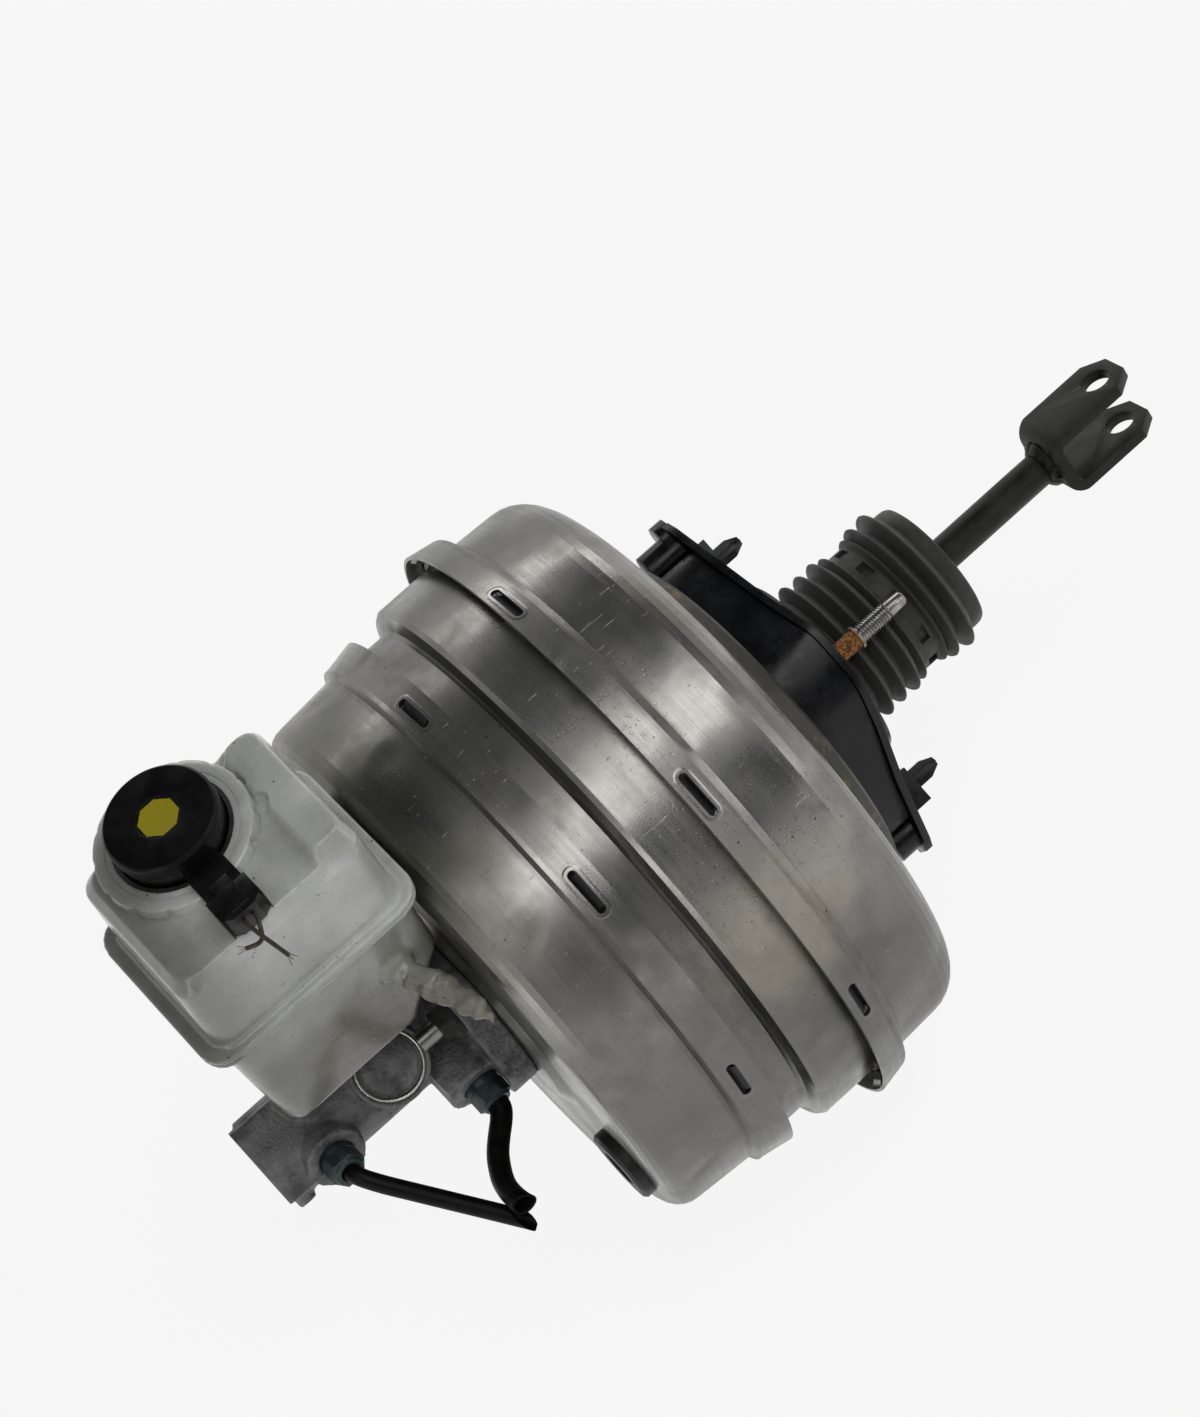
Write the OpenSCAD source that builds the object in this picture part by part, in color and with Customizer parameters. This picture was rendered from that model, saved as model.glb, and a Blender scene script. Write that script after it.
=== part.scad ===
// Tandem vacuum brake booster with master cylinder, reservoir and pedal rod.
// X runs along the booster axis towards the pedal, Z is up, and the origin is
// on the axis, 3 mm outside the flat seat of the spacer bracket.

/* [Shells] */
// Sheet thickness of the three pressed shells
sheet_t = 1.4; // [1.2:0.1:1.8]
// Outer radius of the rear crimp at its open lip
rear_lip_r = 137.5; // [135:0.5:140]
// How far the front crimp lies inside the rear one
front_lip_drop = 10; // [9.5:0.1:10.5]
// How far the wall of the front shell lies inside its crimp
front_wall_drop = 5.7; // [5.4:0.1:6]
// Radius of the corner between the front face and the wall
front_corner_r = 11; // [8:0.5:14]
// How far the wall of the rear shell lies inside its crimp
rear_wall_drop = 9.1; // [8.8:0.1:9.6]
// How far the groove of the middle shell lies inside the front crimp
groove_drop = 6.5; // [6:0.1:6.8]
// How far the wide part of the middle shell lies inside the rear crimp
middle_drop = 8.5; // [8.2:0.1:9]
// Radius of the raised dome under the bracket
dome_r = 76; // [74:0.5:80]
// Height of the dome above the rear wall
dome_h = 12; // [9:0.5:14]
// Number of lanced slots in each crimp
slot_count = 8; // [6:1:10]
// Length of one slot round the crimp
slot_len = 19; // [14:0.5:24]
// Width of one slot along the axis
slot_w = 3.4; // [2.6:0.1:4]
// Angle of the first slot
slot_start = 36; // [0:1:44]

/* [Stations along the axis] */
// Seat of the master cylinder flange on the front shell
flange_x = -190; // [-194:0.5:-188]
// Outer face of the step that ends the front crimp
front_step_x = -149.6; // [-152:0.2:-148]
// Open lip of the front crimp
front_lip_x = -135.5; // [-138:0.5:-134]
// Open lip of the rear crimp
rear_lip_x = -97; // [-98:0.5:-95.5]
// Outer face of the step that ends the rear crimp
rear_step_x = -84.4; // [-85:0.2:-83]
// Back wall of the rear shell outside its dome
rear_wall_x = -45; // [-46:0.5:-44]

/* [Bulkhead side] */
// Turn of the stud and pin pattern about the axis
pattern_turn = 36; // [30:1:45]
// Radius from the axis to each mounting stud
stud_ring_r = 38; // [37.5:0.1:38.5]
// Radius of the M8 stud thread
stud_r = 4; // [3.9:0.05:4.1]
// Length of the studs beyond the bracket
stud_out = 32; // [24:1:40]
// Length of the plain point at the stud end
stud_point = 9; // [6:0.5:12]
// Half length of the bracket plate from corner to corner
bracket_half_l = 81; // [78:0.5:83]
// Half width of the bracket plate across the studs
bracket_half_w = 51.5; // [50:0.5:53]
// Half width of the bracket plate at its two ends
bracket_end_w = 7; // [6:0.5:10]
// How far the plate overhangs the ends of its skirt
skirt_in = 14.5; // [13:0.5:16]
// Wall thickness of the bracket
bracket_t = 3; // [2.4:0.1:3.6]
// Distance of the flat seat from the origin
seat_face_x = -3; // [-3.5:0.1:-2.5]
// Radius of the round flat seat
seat_r = 41; // [40.5:0.5:42]
// Distance of each locating pin from the axis
pin_ring_r = 57.4; // [55:0.2:60]
// Height of a locating pin above its foot
pin_h = 12; // [10:0.5:13]
// Thickness of the paper gasket
gasket_t = 1; // [0.6:0.1:1.4]

/* [Bellows] */
// Wall thickness of the rubber
rubber_t = 1.3; // [1.1:0.1:1.5]
// Crest radius of the large folds
fold_r = 33; // [32.6:0.1:33.8]
// Valley radius of the folds
valley_r = 27.6; // [27.4:0.1:28]
// Outer radius of the windowed collar
collar_r = 28.6; // [28.5:0.1:29]
// Number of breathing windows in the collar
window_count = 10; // [8:1:12]
// Width of one window round the collar
window_w = 7.6; // [5:0.2:9]
// Length of one window along the axis
window_l = 4.4; // [3:0.2:5]
// Far end of the bellows along the axis
bellows_end_x = 58.4; // [57:0.2:60]

/* [Pedal rod] */
// Radius of the push rod
rod_r = 7.1; // [6.8:0.1:7.4]
// Radius of the ball at the front of the rod
ball_r = 6; // [5.6:0.1:6.2]
// Centre of the ball on the axis
ball_x = -27.4; // [-27.8:0.1:-27]
// Front face of the clevis
clevis_x = 118.5; // [112:0.5:130]
// Distance from the clevis face to its pin hole
clevis_reach = 35.4; // [30:0.2:40]
// Radius of the clevis pin hole
clevis_hole_r = 5.1; // [4.9:0.05:5.3]
// Thickness of each clevis ear
ear_t = 4.7; // [4:0.1:5.5]
// Clear gap between the two ears
ear_gap = 18.6; // [16:0.2:22]
// Half width of an ear
ear_half_w = 9.6; // [9:0.1:11]
// Turn of the clevis about the rod
clevis_turn = -20; // [-45:1:45]

/* [Power piston] */
// Full stroke of the power piston
stroke = 30; // [24:1:30]
// Travel of the control plunger in the valve body
plunger_travel = 1.5; // [1:0.1:1.8]
// Radius of the valve body tube in the centre seal
tube_r = 27; // [26.6:0.1:27.4]
// Radius of the valve body neck in the rear seal
neck_r = 21; // [20.6:0.1:21.4]
// Radius of the control plunger
plunger_r = 9; // [8.6:0.1:9.2]
// How far both diaphragm plates lie inside the rear crimp
plate_drop = 31.5; // [28:0.5:36]
// Sheet thickness of the diaphragm plates
plate_t = 1.2; // [1:0.1:1.6]
// Thickness of both rubber diaphragms
diaphragm_t = 1.6; // [1.4:0.1:1.8]
// Wire radius of the main return spring
spring_wire = 2; // [1.6:0.1:2.4]
// Mean radius of the main return spring
spring_r = 31; // [30.5:0.1:31.5]
// Radius of the reaction disc
disc_r = 12.6; // [12:0.1:12.7]
// Radius of the output rod
output_r = 5.5; // [5:0.1:5.8]

/* [Master cylinder] */
// Length of the casting from its flange to its front end
cylinder_l = 103.5; // [100:0.5:108]
// Outer radius of the barrel
barrel_r = 19.5; // [18.5:0.1:20]
// Radius of the bore
bore_r = 11.11; // [10.8:0.01:11.4]
// Thickness of the mounting flange
flange_t = 12; // [10:0.5:13]
// Radius of the round part of the flange
flange_r = 43.6; // [40:0.2:46]
// Radius from the axis to each flange stud
flange_stud_ring = 41; // [40:0.5:44]
// Direction of the flange studs about the axis
flange_turn = 131; // [124:1:138]
// Radius of the pilot that enters the front shell
pilot_r = 20.2; // [19.8:0.1:20.4]
// Length of the pilot
pilot_l = 7; // [6:0.5:8]
// Distance of the rear outlet port from the flange seat
rear_port_d = 20; // [19:0.5:22]
// Distance of the front outlet port from the flange seat
front_port_d = 79; // [77:0.5:82]
// Direction of the rear outlet port about the axis
rear_port_turn = 195; // [190:1:200]
// Direction of the front outlet port about the axis
front_port_turn = 168; // [162:1:174]
// Height of the rear port seat above the axis
rear_port_h = 34; // [32:0.5:36]
// Height of the front port seat above the axis
front_port_h = 24; // [23:0.5:26]
// Distance of the side plug from the flange seat
plug_d = 42; // [41:0.5:43]
// Radius of the boss that holds the side plug
plug_boss_r = 16; // [15:0.2:17]
// Radius of the round side plug
side_plug_r = 12.6; // [11.6:0.1:13]
// Distance of the rear inlet from the flange seat
rear_inlet_d = 23.6; // [23.3:0.1:24]
// Distance of the front inlet from the front wall of the tank
front_inlet_d = 14.5; // [13:0.5:15]
// Radius of the two black brake pipes
pipe_r = 3.8; // [3:0.1:4]

/* [Reservoir] */
// Front wall of the tank
tank_front_x = -277; // [-279:0.5:-275]
// Rear wall of the tank
tank_rear_x = -190.6; // [-192:0.2:-190]
// Half width of the tank at the weld rim
tank_half_w = 37; // [35:0.5:38]
// Height of the tank bottom above the axis
tank_bottom_z = 50; // [48:0.5:52]
// Height of the weld rim above the axis
rim_z = 120; // [117:0.5:123]
// Height of the tank top above the axis
tank_top_z = 162; // [161:0.2:163]
// Wall thickness of the tank
tank_t = 2.4; // [2:0.1:3]
// Width of the weld rim outside the tank wall
rim_w = 5; // [3:0.5:6]
// Thickness of each half of the weld rim
rim_t = 2.6; // [2:0.1:3.5]
// Place of the filler neck along the axis
neck_x = -239; // [-240:0.5:-238]
// Place of the filler neck beside the axis
neck_y = 17.5; // [16:0.5:18]
// Radius of the flared foot of the filler neck
neck_foot_r = 30.5; // [29:0.5:32]
// Radius of the top of the filler neck
neck_top_r = 26; // [25:0.2:27]
// Height of the filler neck
neck_h = 5; // [4:0.2:5.4]
// Number of flutes round the filler neck
flute_count = 14; // [10:1:18]
// Outer radius of the return nipple
nipple_r = 4; // [3.6:0.1:4.4]
// Height of the return nipple above the axis
nipple_z = 90; // [86:0.5:94]

/* [Cap and level sensor] */
// Radius of the filler cap
cap_r = 23.8; // [22.5:0.1:24.4]
// Height of the filler cap
cap_h = 6.6; // [5:0.2:8]
// Width of the connector arm
arm_w = 15.4; // [13:0.2:17]
// Height of the connector arm
arm_h = 5.6; // [5:0.1:6.4]
// Reach of the arm from the cap centre to the open end of its socket
arm_reach = 42; // [39:0.5:44]
// Radius of the sensor stem
stem_r = 4.5; // [4:0.1:5]
// Height of the lower end of the sensor stem
stem_low_z = 72; // [68:1:78]
// Outer radius of the float
float_r = 12; // [10:0.5:14]
// Height of the float
float_h = 16; // [12:1:20]
// Travel of the float up the stem
float_travel = 40; // [30:1:45]

/* [Vacuum inlet] */
// Direction of the vacuum grommet about the axis
grommet_turn = 205; // [200:1:215]
// How far the grommet's middle lies inside the wall of the front shell
grommet_drop = 29.8; // [28:0.2:32]
// Outer radius of the grommet flange
grommet_r = 15.5; // [14:0.5:16]
// Radius of the hole in the grommet
grommet_bore_r = 8; // [7:0.1:9]

/* [Fits] */
// Radial clearance of the sliding seals and pistons
run_gap = 0.05; // [0.03:0.01:0.08]
// Clearance between pieces that move past each other
free_gap = 0.3; // [0.25:0.05:0.4]

/* [Hidden] */

fine = 96;

// Radii of the shells, from the lip of the rear crimp inwards
front_lip_r = rear_lip_r - front_lip_drop;
front_shell_r = front_lip_r - front_wall_drop;
groove_r = front_lip_r - groove_drop;
rear_shell_r = rear_lip_r - rear_wall_drop;
middle_r = rear_lip_r - middle_drop;
plate_r = rear_lip_r - plate_drop;
grommet_ring_r = front_shell_r - grommet_drop;
plate_flat_r = plate_r - 46;
plate_foot_r = plate_r - 40;

// Stacks that the crimps clamp, worked out from the steps inwards
bead_front = diaphragm_t + 0.2;
bead_rear = diaphragm_t + 0.2;
front_step_in = front_step_x + sheet_t;
front_flange_x = front_step_in + bead_front;
front_slot_x = front_flange_x + sheet_t;
rear_step_in = rear_step_x - sheet_t;
divider_x = rear_step_in - bead_rear;
rear_flange_x = divider_x - plate_t;
rear_slot_x = rear_flange_x - sheet_t - slot_w;
front_crimp_r = front_shell_r + 3.2;
rear_crimp_r = rear_lip_r - 2.5;
front_bead_r = front_crimp_r - sheet_t - 0.2;
rear_bead_r = rear_crimp_r - sheet_t - 0.2;

groove_end_x = front_lip_x + 11.5;

// Front face levels
front_rise = 2.5;
front_face_x = flange_x + front_rise;
pilot_hole_r = pilot_r + 0.4;

// Rear dome and hub
dome_x = rear_wall_x + dome_h;
hub_in_r = 25;
hub_out_r = hub_in_r + sheet_t;
hub_end_x = -4;
gasket_x = dome_x + gasket_t;
seal_l = 10;
guide_x = dome_x + 3;

// Divider
divider_flat_x = -98;
divider_hub_r = 30;
divider_hub_l = 9;
divider_hub_x = divider_flat_x + 4 - divider_hub_l;

// Power piston stations at rest
boss_r = 34;
boss_front_x = -118;
boss_rear_x = -107;
flange2_r = 40;
flange2_x = -62;
flange2_t = 6;
rear_plate_x = flange2_x + flange2_t;
front_plate_x = boss_rear_x;
disc_x = -92;
disc_t = 7.7;
head_t = 5;
cavity_r = disc_r + 0.4;
plunger_bore_r = plunger_r + 0.1;
seat_x = -20;
rear_bore_r = 16.5;
neck_end_x = 34;
neck_flange_l = 6;
plunger_front_x = disc_x + plunger_travel + free_gap;
plunger_head_x = seat_x + plunger_travel + free_gap;
plunger_head_t = 2.2;
plunger_end_x = plunger_head_x + plunger_head_t;
poppet_x = plunger_end_x + free_gap;
poppet_l = 13;
poppet_out_r = rear_bore_r - free_gap;
poppet_in_r = 10.2;
retainer_x = poppet_x + poppet_l;
retainer_t = 3;
rod_seat_x = 14;
rod_seat_t = 2.4;
rod_seat_r = 13.4;
filter_x = 19;
key_t = 3;
key_x = dome_x - sheet_t - free_gap - key_t;
waist_r = 6;

// Master cylinder stations
front_end_x = flange_x - cylinder_l;
rear_port_x = flange_x - rear_port_d;
front_port_x = flange_x - front_port_d;
plug_x = flange_x - plug_d;
rear_inlet_x = flange_x - rear_inlet_d;
front_inlet_x = tank_front_x + front_inlet_d;
bore_end_x = front_end_x + 4.5;
pilot_end_x = flange_x + pilot_l;
o_ring_r = pilot_r + 5;
inlet_top_z = 28;
port_boss_r = 13.5;
inlet_boss_r = 11;
inlet_seat_r = 8.4;
spigot_r = 6;
nut_r = 7.2;
nut_l = 13;
nut_grip = 4;
plug_face = 30;
plug_sink = 3;
stud_tip_x = flange_x - flange_t - 17;
flange_nut_h = 8;

// Pistons at rest
piston_r = bore_r - run_gap;
circlip_x = flange_x + 3.5;
circlip_t = 1.4;
primary_rear_x = circlip_x - circlip_t / 2 - 0.1;
primary_l = 36;
primary_front_x = primary_rear_x - primary_l;
primary_tail_x = primary_rear_x + 10;
secondary_rear_x = primary_front_x - 25;
secondary_l = 22;
secondary_front_x = secondary_rear_x - secondary_l;
socket_r = 7;
socket_x = primary_tail_x - 22;
rod_tip_x = socket_x + free_gap;

// Reservoir
lower_half_w = 31;
foot_x0 = tank_front_x + 4;
foot_x1 = tank_rear_x - 20;
step_z = tank_bottom_z + 30;
top_r = 8;
neck_bore_r = 22;
neck_top_z = tank_top_z + neck_h;
nipple_x = -212;
nipple_turn = -67.5;
nipple_l = 26;
lug_z = 36;
lug_x = -234;
tongue_y = 8;
tongue_t = 5;

// Cap and sensor stack above the neck
head_r = neck_bore_r - free_gap;
head_flange_r = neck_top_r - 3;
arm_z = neck_top_z + 0.3;
arm_top_z = arm_z + arm_h;
cap_z = arm_top_z + 0.3;
cap_pivot_r = 7;
stem_clip_r = 6.6;
float_rest_z = stem_low_z + 3 + free_gap;
socket_wall = 1.6;
plug_z = 163.2;
plug_top_z = arm_top_z + 1.2;

// Route of the cut front brake pipe, from its nut to its pinched end
front_pipe_route = [[-264, -43, 3.2], [-256, -53.4, -2.3], [-246, -66.4, -9.2], [-238, -76.8, -14.7], [-231, -86, -19.5]];
// Route of the cut rear brake pipe, from its nut to its pinched end
rear_pipe_route = [[-213, -48.5, -13], [-217, -52.5, -13.2], [-222, -58, -13.2], [-225, -63.5, -13],
    [-227.4, -69, -12], [-228.6, -75, -10], [-228.8, -82, -6.5], [-228.4, -89.5, -2]];
// Routes of the two short sensor wires that are left on the plug
wire_a_route = [[-236, -38.5, 169], [-236, -46, 169], [-237, -54, 167], [-238, -62, 164]];
wire_b_route = [[-242, -38.5, 169], [-242, -44, 169], [-245, -47, 167], [-249, -48, 164]];
wire_r = 1;

// Geometry helpers
function unit(v) = v / norm(v);
function arc(c, r, a0, a1, n) = [for (i = [0:n]) c + r * [cos(a0 + (a1 - a0) * i / n), sin(a0 + (a1 - a0) * i / n)]];
function side_normal(a, b) = let (d = unit(b - a)) [-d.y, d.x];
function miter(p, i) = i == 0 ? side_normal(p[0], p[1])
    : i == len(p) - 1 ? side_normal(p[i - 1], p[i])
    : let (a = side_normal(p[i - 1], p[i]), b = side_normal(p[i], p[i + 1])) (a + b) / (1 + a * b);
function sheet(p, t) = concat(p, [for (i = [len(p) - 1:-1:0]) p[i] + t * miter(p, i)]);
function frame_at(p, i) = i == 0 ? unit(p[1] - p[0])
    : i == len(p) - 1 ? unit(p[i] - p[i - 1])
    : unit(unit(p[i] - p[i - 1]) + unit(p[i + 1] - p[i]));
function rounded_box(x0, x1, y0, y1, r) = concat(
    arc([x1 - r, y1 - r], r, 0, 90, 5), arc([x0 + r, y1 - r], r, 90, 180, 5),
    arc([x0 + r, y0 + r], r, 180, 270, 5), arc([x1 - r, y0 + r], r, 270, 360, 5));

// A closed profile of [radius, station] points turned about the booster axis
module turned(profile) rotate([0, 90, 0]) rotate_extrude($fn = fine) polygon(profile);

// A ring about the booster axis between two stations
module ring(x0, x1, r_in, r_out) turned([[r_in, x0], [r_out, x0], [r_out, x1], [r_in, x1]]);

// A rod about the booster axis between two stations
module bar(x0, x1, r) translate([x0, 0, 0]) rotate([0, 90, 0]) cylinder(r = r, h = x1 - x0, $fn = fine);

// Children placed across the axis: their Z points outwards in a given direction
module outward(x, turn) translate([x, 0, 0]) rotate([turn - 90, 0, 0]) children();

// A round tube swept along a route
module swept(p, r, sides = 10) {
    up = [0.1, 0.2, 1];
    n = len(p);
    points = [for (i = [0:n - 1]) let (d = frame_at(p, i), a = unit(cross(up, d)), b = cross(d, a))
        for (k = [0:sides - 1]) p[i] + r * (a * cos(360 * k / sides) + b * sin(360 * k / sides))];
    faces = concat([[for (k = [sides - 1:-1:0]) k]],
        [for (i = [0:n - 2]) for (k = [0:sides - 1]) let (m = (k + 1) % sides)
            each [[i * sides + k, i * sides + m, (i + 1) * sides + m],
                [i * sides + k, (i + 1) * sides + m, (i + 1) * sides + k]]],
        [[for (k = [0:sides - 1]) (n - 1) * sides + k]]);
    polyhedron(points, faces, convexity = 6);
}

// A coil spring about the booster axis, outer ends at x0 and x1
module coil(x0, x1, r0, r1, wire, turns, steps = 20, sides = 6) {
    n = turns * steps;
    a = x0 + wire;
    b = x1 - wire;
    swept([for (i = [0:n]) let (u = i / n, r = r0 + (r1 - r0) * u)
        [a + (b - a) * u, r * cos(360 * turns * u), r * sin(360 * turns * u)]], wire, sides);
}

// Slots lanced through a crimp, or the tabs that are pushed in beside them
module round_crimp() for (i = [0:slot_count - 1]) rotate([slot_start + i * 360 / slot_count, 0, 0]) children();

// A slot with round ends that points outwards, its length along the turn
module slot(x, r) translate([x, 0, r]) {
    translate([0, -(slot_len - slot_w) / 2, 0]) cube([slot_w, slot_len - slot_w, 12]);
    for (s = [-1, 1]) translate([slot_w / 2, s * (slot_len - slot_w) / 2, 0]) cylinder(r = slot_w / 2, h = 12, $fn = 24);
}

// A tab bent in from the far edge of a slot until it stands behind the clamped flanges
module lance(x_hold, x_bend, r_low, r_wall) {
    s = x_bend > x_hold ? 1 : -1;
    translate([0, 0, 2 - slot_len / 2]) linear_extrude(slot_len - 4) polygon([[x_hold + 0.02 * s, r_low - 1.6],
        [x_hold + 1.4 * s, r_low - 1.6], [x_bend + 1.4 * s, r_wall - sheet_t + 0.2], [x_bend + 1.4 * s, r_wall - 0.2],
        [x_bend - 0.6 * s, r_wall - 0.4], [x_hold + 0.02 * s, r_low]]);
}

module front_shell() color("dimgray") {
    outline = concat([[pilot_hole_r, flange_x], [56, flange_x], [62, front_face_x]],
        arc([front_shell_r - 1.8 - front_corner_r, front_face_x + front_corner_r], front_corner_r, -90, 0, 6),
        [[front_shell_r, front_step_x - 1.6], [front_crimp_r, front_step_x],
         [front_crimp_r + 0.2, front_step_x + 2], [front_lip_r, front_lip_x]]);
    difference() {
        turned(sheet(outline, sheet_t));
        round_crimp() rotate([-90, 0, 0]) slot(front_slot_x, front_lip_r - 8);
        outward(0, grommet_turn) translate([0, 0, grommet_ring_r]) rotate([0, 90, 0])
            translate([0, 0, front_face_x - 1]) cylinder(r = grommet_r - 4, h = sheet_t + 2, $fn = 48);
        for (s = [0, 180]) outward(0, flange_turn + s) translate([0, 0, flange_stud_ring]) rotate([0, 90, 0])
            translate([0, 0, flange_x - 1]) cylinder(r = stud_r, h = sheet_t + 2, $fn = 48);
    }
    round_crimp() lance(front_slot_x, front_slot_x + slot_w, front_bead_r, front_crimp_r + 1.3);
}

module middle_shell() color("gray") {
    outline = [[front_bead_r, front_flange_x + sheet_t], [groove_r + 0.6, front_flange_x + sheet_t],
        [groove_r, front_flange_x + 3.5], [groove_r, groove_end_x], [groove_r + 1.5, groove_end_x + 1.5],
        [middle_r - 1.5, groove_end_x + 3.5], [middle_r, groove_end_x + 5.5], [middle_r, rear_flange_x - 4], [middle_r + 1.5, rear_flange_x - sheet_t],
        [rear_bead_r, rear_flange_x - sheet_t]];
    turned(sheet(outline, sheet_t));
}

module divider_plate() color("silver") {
    rim_r = middle_r - sheet_t - 1;
    outline = [[rear_bead_r, divider_x], [rim_r, divider_x], [rim_r - 2, divider_x - 3],
        [rim_r - 7, divider_flat_x + 1], [rim_r - 10, divider_flat_x], [divider_hub_r + 6, divider_flat_x],
        [divider_hub_r + 4, divider_flat_x - 1], [divider_hub_r, divider_flat_x - 3], [divider_hub_r, divider_hub_x]];
    turned(sheet(outline, plate_t));
}

module divider_seal() color("black")
    turned([[tube_r + run_gap, divider_hub_x], [divider_hub_r - 0.1, divider_hub_x],
        [divider_hub_r - 0.1, divider_flat_x - 2.5], [tube_r + 1.4, divider_flat_x + plate_t],
        [tube_r + run_gap, divider_flat_x + plate_t]]);

module rear_shell() color("gray") {
    outline = concat([[rear_lip_r, rear_lip_x], [rear_crimp_r + 0.4, rear_step_x - 1], [rear_crimp_r, rear_step_x],
        [rear_shell_r + 2, rear_step_x], [rear_shell_r + 0.8, rear_step_x + 3]],
        arc([rear_shell_r - 17, rear_wall_x - 17], 17, 0, 90, 7),
        [[dome_r + 12, rear_wall_x], [dome_r + 9, rear_wall_x + 1.5], [dome_r + 3, dome_x - 1.5], [dome_r, dome_x],
         [hub_out_r + 3, dome_x], [hub_out_r, dome_x + 3], [hub_out_r, hub_end_x]]);
    difference() {
        turned(sheet(outline, sheet_t));
        round_crimp() rotate([-90, 0, 0]) slot(rear_slot_x, rear_lip_r - 8);
        for (s = [-1, 1]) rotate([pattern_turn, 0, 0]) translate([dome_x - sheet_t - 1, 0, s * stud_ring_r])
            rotate([0, 90, 0]) cylinder(r = stud_r + 0.2, h = sheet_t + 2, $fn = 48);
    }
    round_crimp() lance(rear_slot_x + slot_w, rear_slot_x, rear_bead_r, rear_crimp_r + 1.4);
}

module rear_guide_seal() color("black")
    turned([[neck_r + run_gap, guide_x], [hub_in_r - 0.1, guide_x], [hub_in_r - 0.1, guide_x + seal_l],
        [neck_r + 1.4, guide_x + seal_l], [neck_r + run_gap, guide_x + seal_l - 1.5]]);

// Outline of the plate or of its skirt seen along the axis: a kite with cut corners
function kite(l, e, w) = [[l, -e], [l, e], [l - 4, e + 5], [16, w - 1.5], [5, w], [-5, w], [-16, w - 1.5],
    [-l + 4, e + 5], [-l, e], [-l, -e], [-l + 4, -e - 5], [-16, -w + 1.5], [-5, -w], [5, -w], [16, -w + 1.5],
    [l - 4, -e - 5]];

// Top of the plate as [distance along it, station] points: it drops towards both ends
roof_line = [[90, -12.3], [57, -9.2], [33, -7], [12, -3.5], [-10, -3.5], [-30, -6.8], [-52, -12.6], [-90, -19.4]];

// Everything in front of the top of the plate, lowered by a wall
module bracket_roof(wall) translate([0, 0, -bracket_half_w - 5]) linear_extrude(2 * bracket_half_w + 10)
    polygon(concat([for (p = roof_line) [p.y - wall, p.x]], [[gasket_x - 1, -90], [gasket_x - 1, 90]]));

module bracket_prism(outline, x0, x1) translate([x0, 0, 0]) rotate([90, 0, 90]) linear_extrude(x1 - x0) polygon(outline);

function skirt_outline(inset) = kite(bracket_half_l - skirt_in - inset, bracket_end_w + 2 - inset * 0.5,
    bracket_half_w - bracket_t - inset * 1.25);

module mounting_gasket() color("khaki") rotate([pattern_turn, 0, 0]) difference() {
    translate([dome_x, 0, 0]) rotate([90, 0, 90]) linear_extrude(gasket_t) difference() {
        intersection() {
            polygon(skirt_outline(-1.2));
            circle(r = dome_r - 1, $fn = fine);
        }
        circle(r = hub_out_r + 4, $fn = fine);
    }
    for (s = [-1, 1]) translate([dome_x - 1, 0, s * stud_ring_r]) rotate([0, 90, 0])
        cylinder(r = stud_r + 0.3, h = gasket_t + 2, $fn = 48);
}

// A flat tapered pin with a cross section like a plus sign
module locating_pin() {
    for (q = [0, 90]) rotate(q) translate([-4, -1.5, 0]) cube([8, 3, pin_h - 5]);
    translate([0, 0, pin_h - 5]) linear_extrude(5, scale = 0.45) union() {
        translate([-4, -1.5]) square([8, 3]);
        translate([-1.5, -4]) square([3, 8]);
    }
}

module spacer_bracket() color("#15161a") rotate([pattern_turn, 0, 0]) {
    centre_r = fold_r - 0.4;
    boss = bracket_half_w - bracket_t - stud_ring_r - 2.5;
    difference() {
        union() {
            intersection() {
                bracket_prism(kite(bracket_half_l, bracket_end_w, bracket_half_w), gasket_x, 0);
                difference() {
                    bracket_roof(0);
                    bracket_roof(bracket_t);
                }
            }
            difference() {
                intersection() {
                    bracket_prism(skirt_outline(0), gasket_x, 0);
                    bracket_roof(bracket_t - 0.5);
                }
                intersection() {
                    bracket_prism(skirt_outline(bracket_t), gasket_x - 1, 0);
                    bracket_roof(bracket_t);
                }
            }
            for (s = [-1, 1]) translate([gasket_x, 0, s * stud_ring_r]) rotate([0, 90, 0])
                cylinder(r = boss, h = seat_face_x - 1 - gasket_x, $fn = 48);
            bar(gasket_x, seat_face_x - 1, centre_r + 2.4);
            bar(seat_face_x - 7, seat_face_x, seat_r);
            for (s = [-1, 1]) for (o = [-16, 16]) translate([gasket_x, s * (centre_r + 1.5) - (s < 0 ? 20 : 0), o - 1])
                cube([-gasket_x - 14, 20, 2]);
            for (s = [-1, 1]) translate([gasket_x + 3, s * (bracket_half_l - 10), 0]) rotate([0, 90, 0])
                cylinder(r = 7.5, h = s > 0 ? 19 : 13.5, $fn = 48);
            translate([-17.5, bracket_half_l - 4, 0]) rotate([0, 90, 0]) cylinder(r = 7, h = 5.8, $fn = 48);
            for (s = [-1, 1]) translate([s > 0 ? -12 : -16, s * 59 - 8, -6]) cube([s > 0 ? 7 : 10.5, 16, 12]);
        }
        bar(gasket_x - 1, 1, centre_r);
        for (s = [-1, 1]) translate([gasket_x - 1, 0, s * stud_ring_r]) rotate([0, 90, 0])
            cylinder(r = stud_r + 0.5, h = -gasket_x + 2, $fn = 48);
    }
    for (s = [-1, 1]) translate([-5.5, s * pin_ring_r, 0]) rotate([0, 90, 0]) locating_pin();
}

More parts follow.
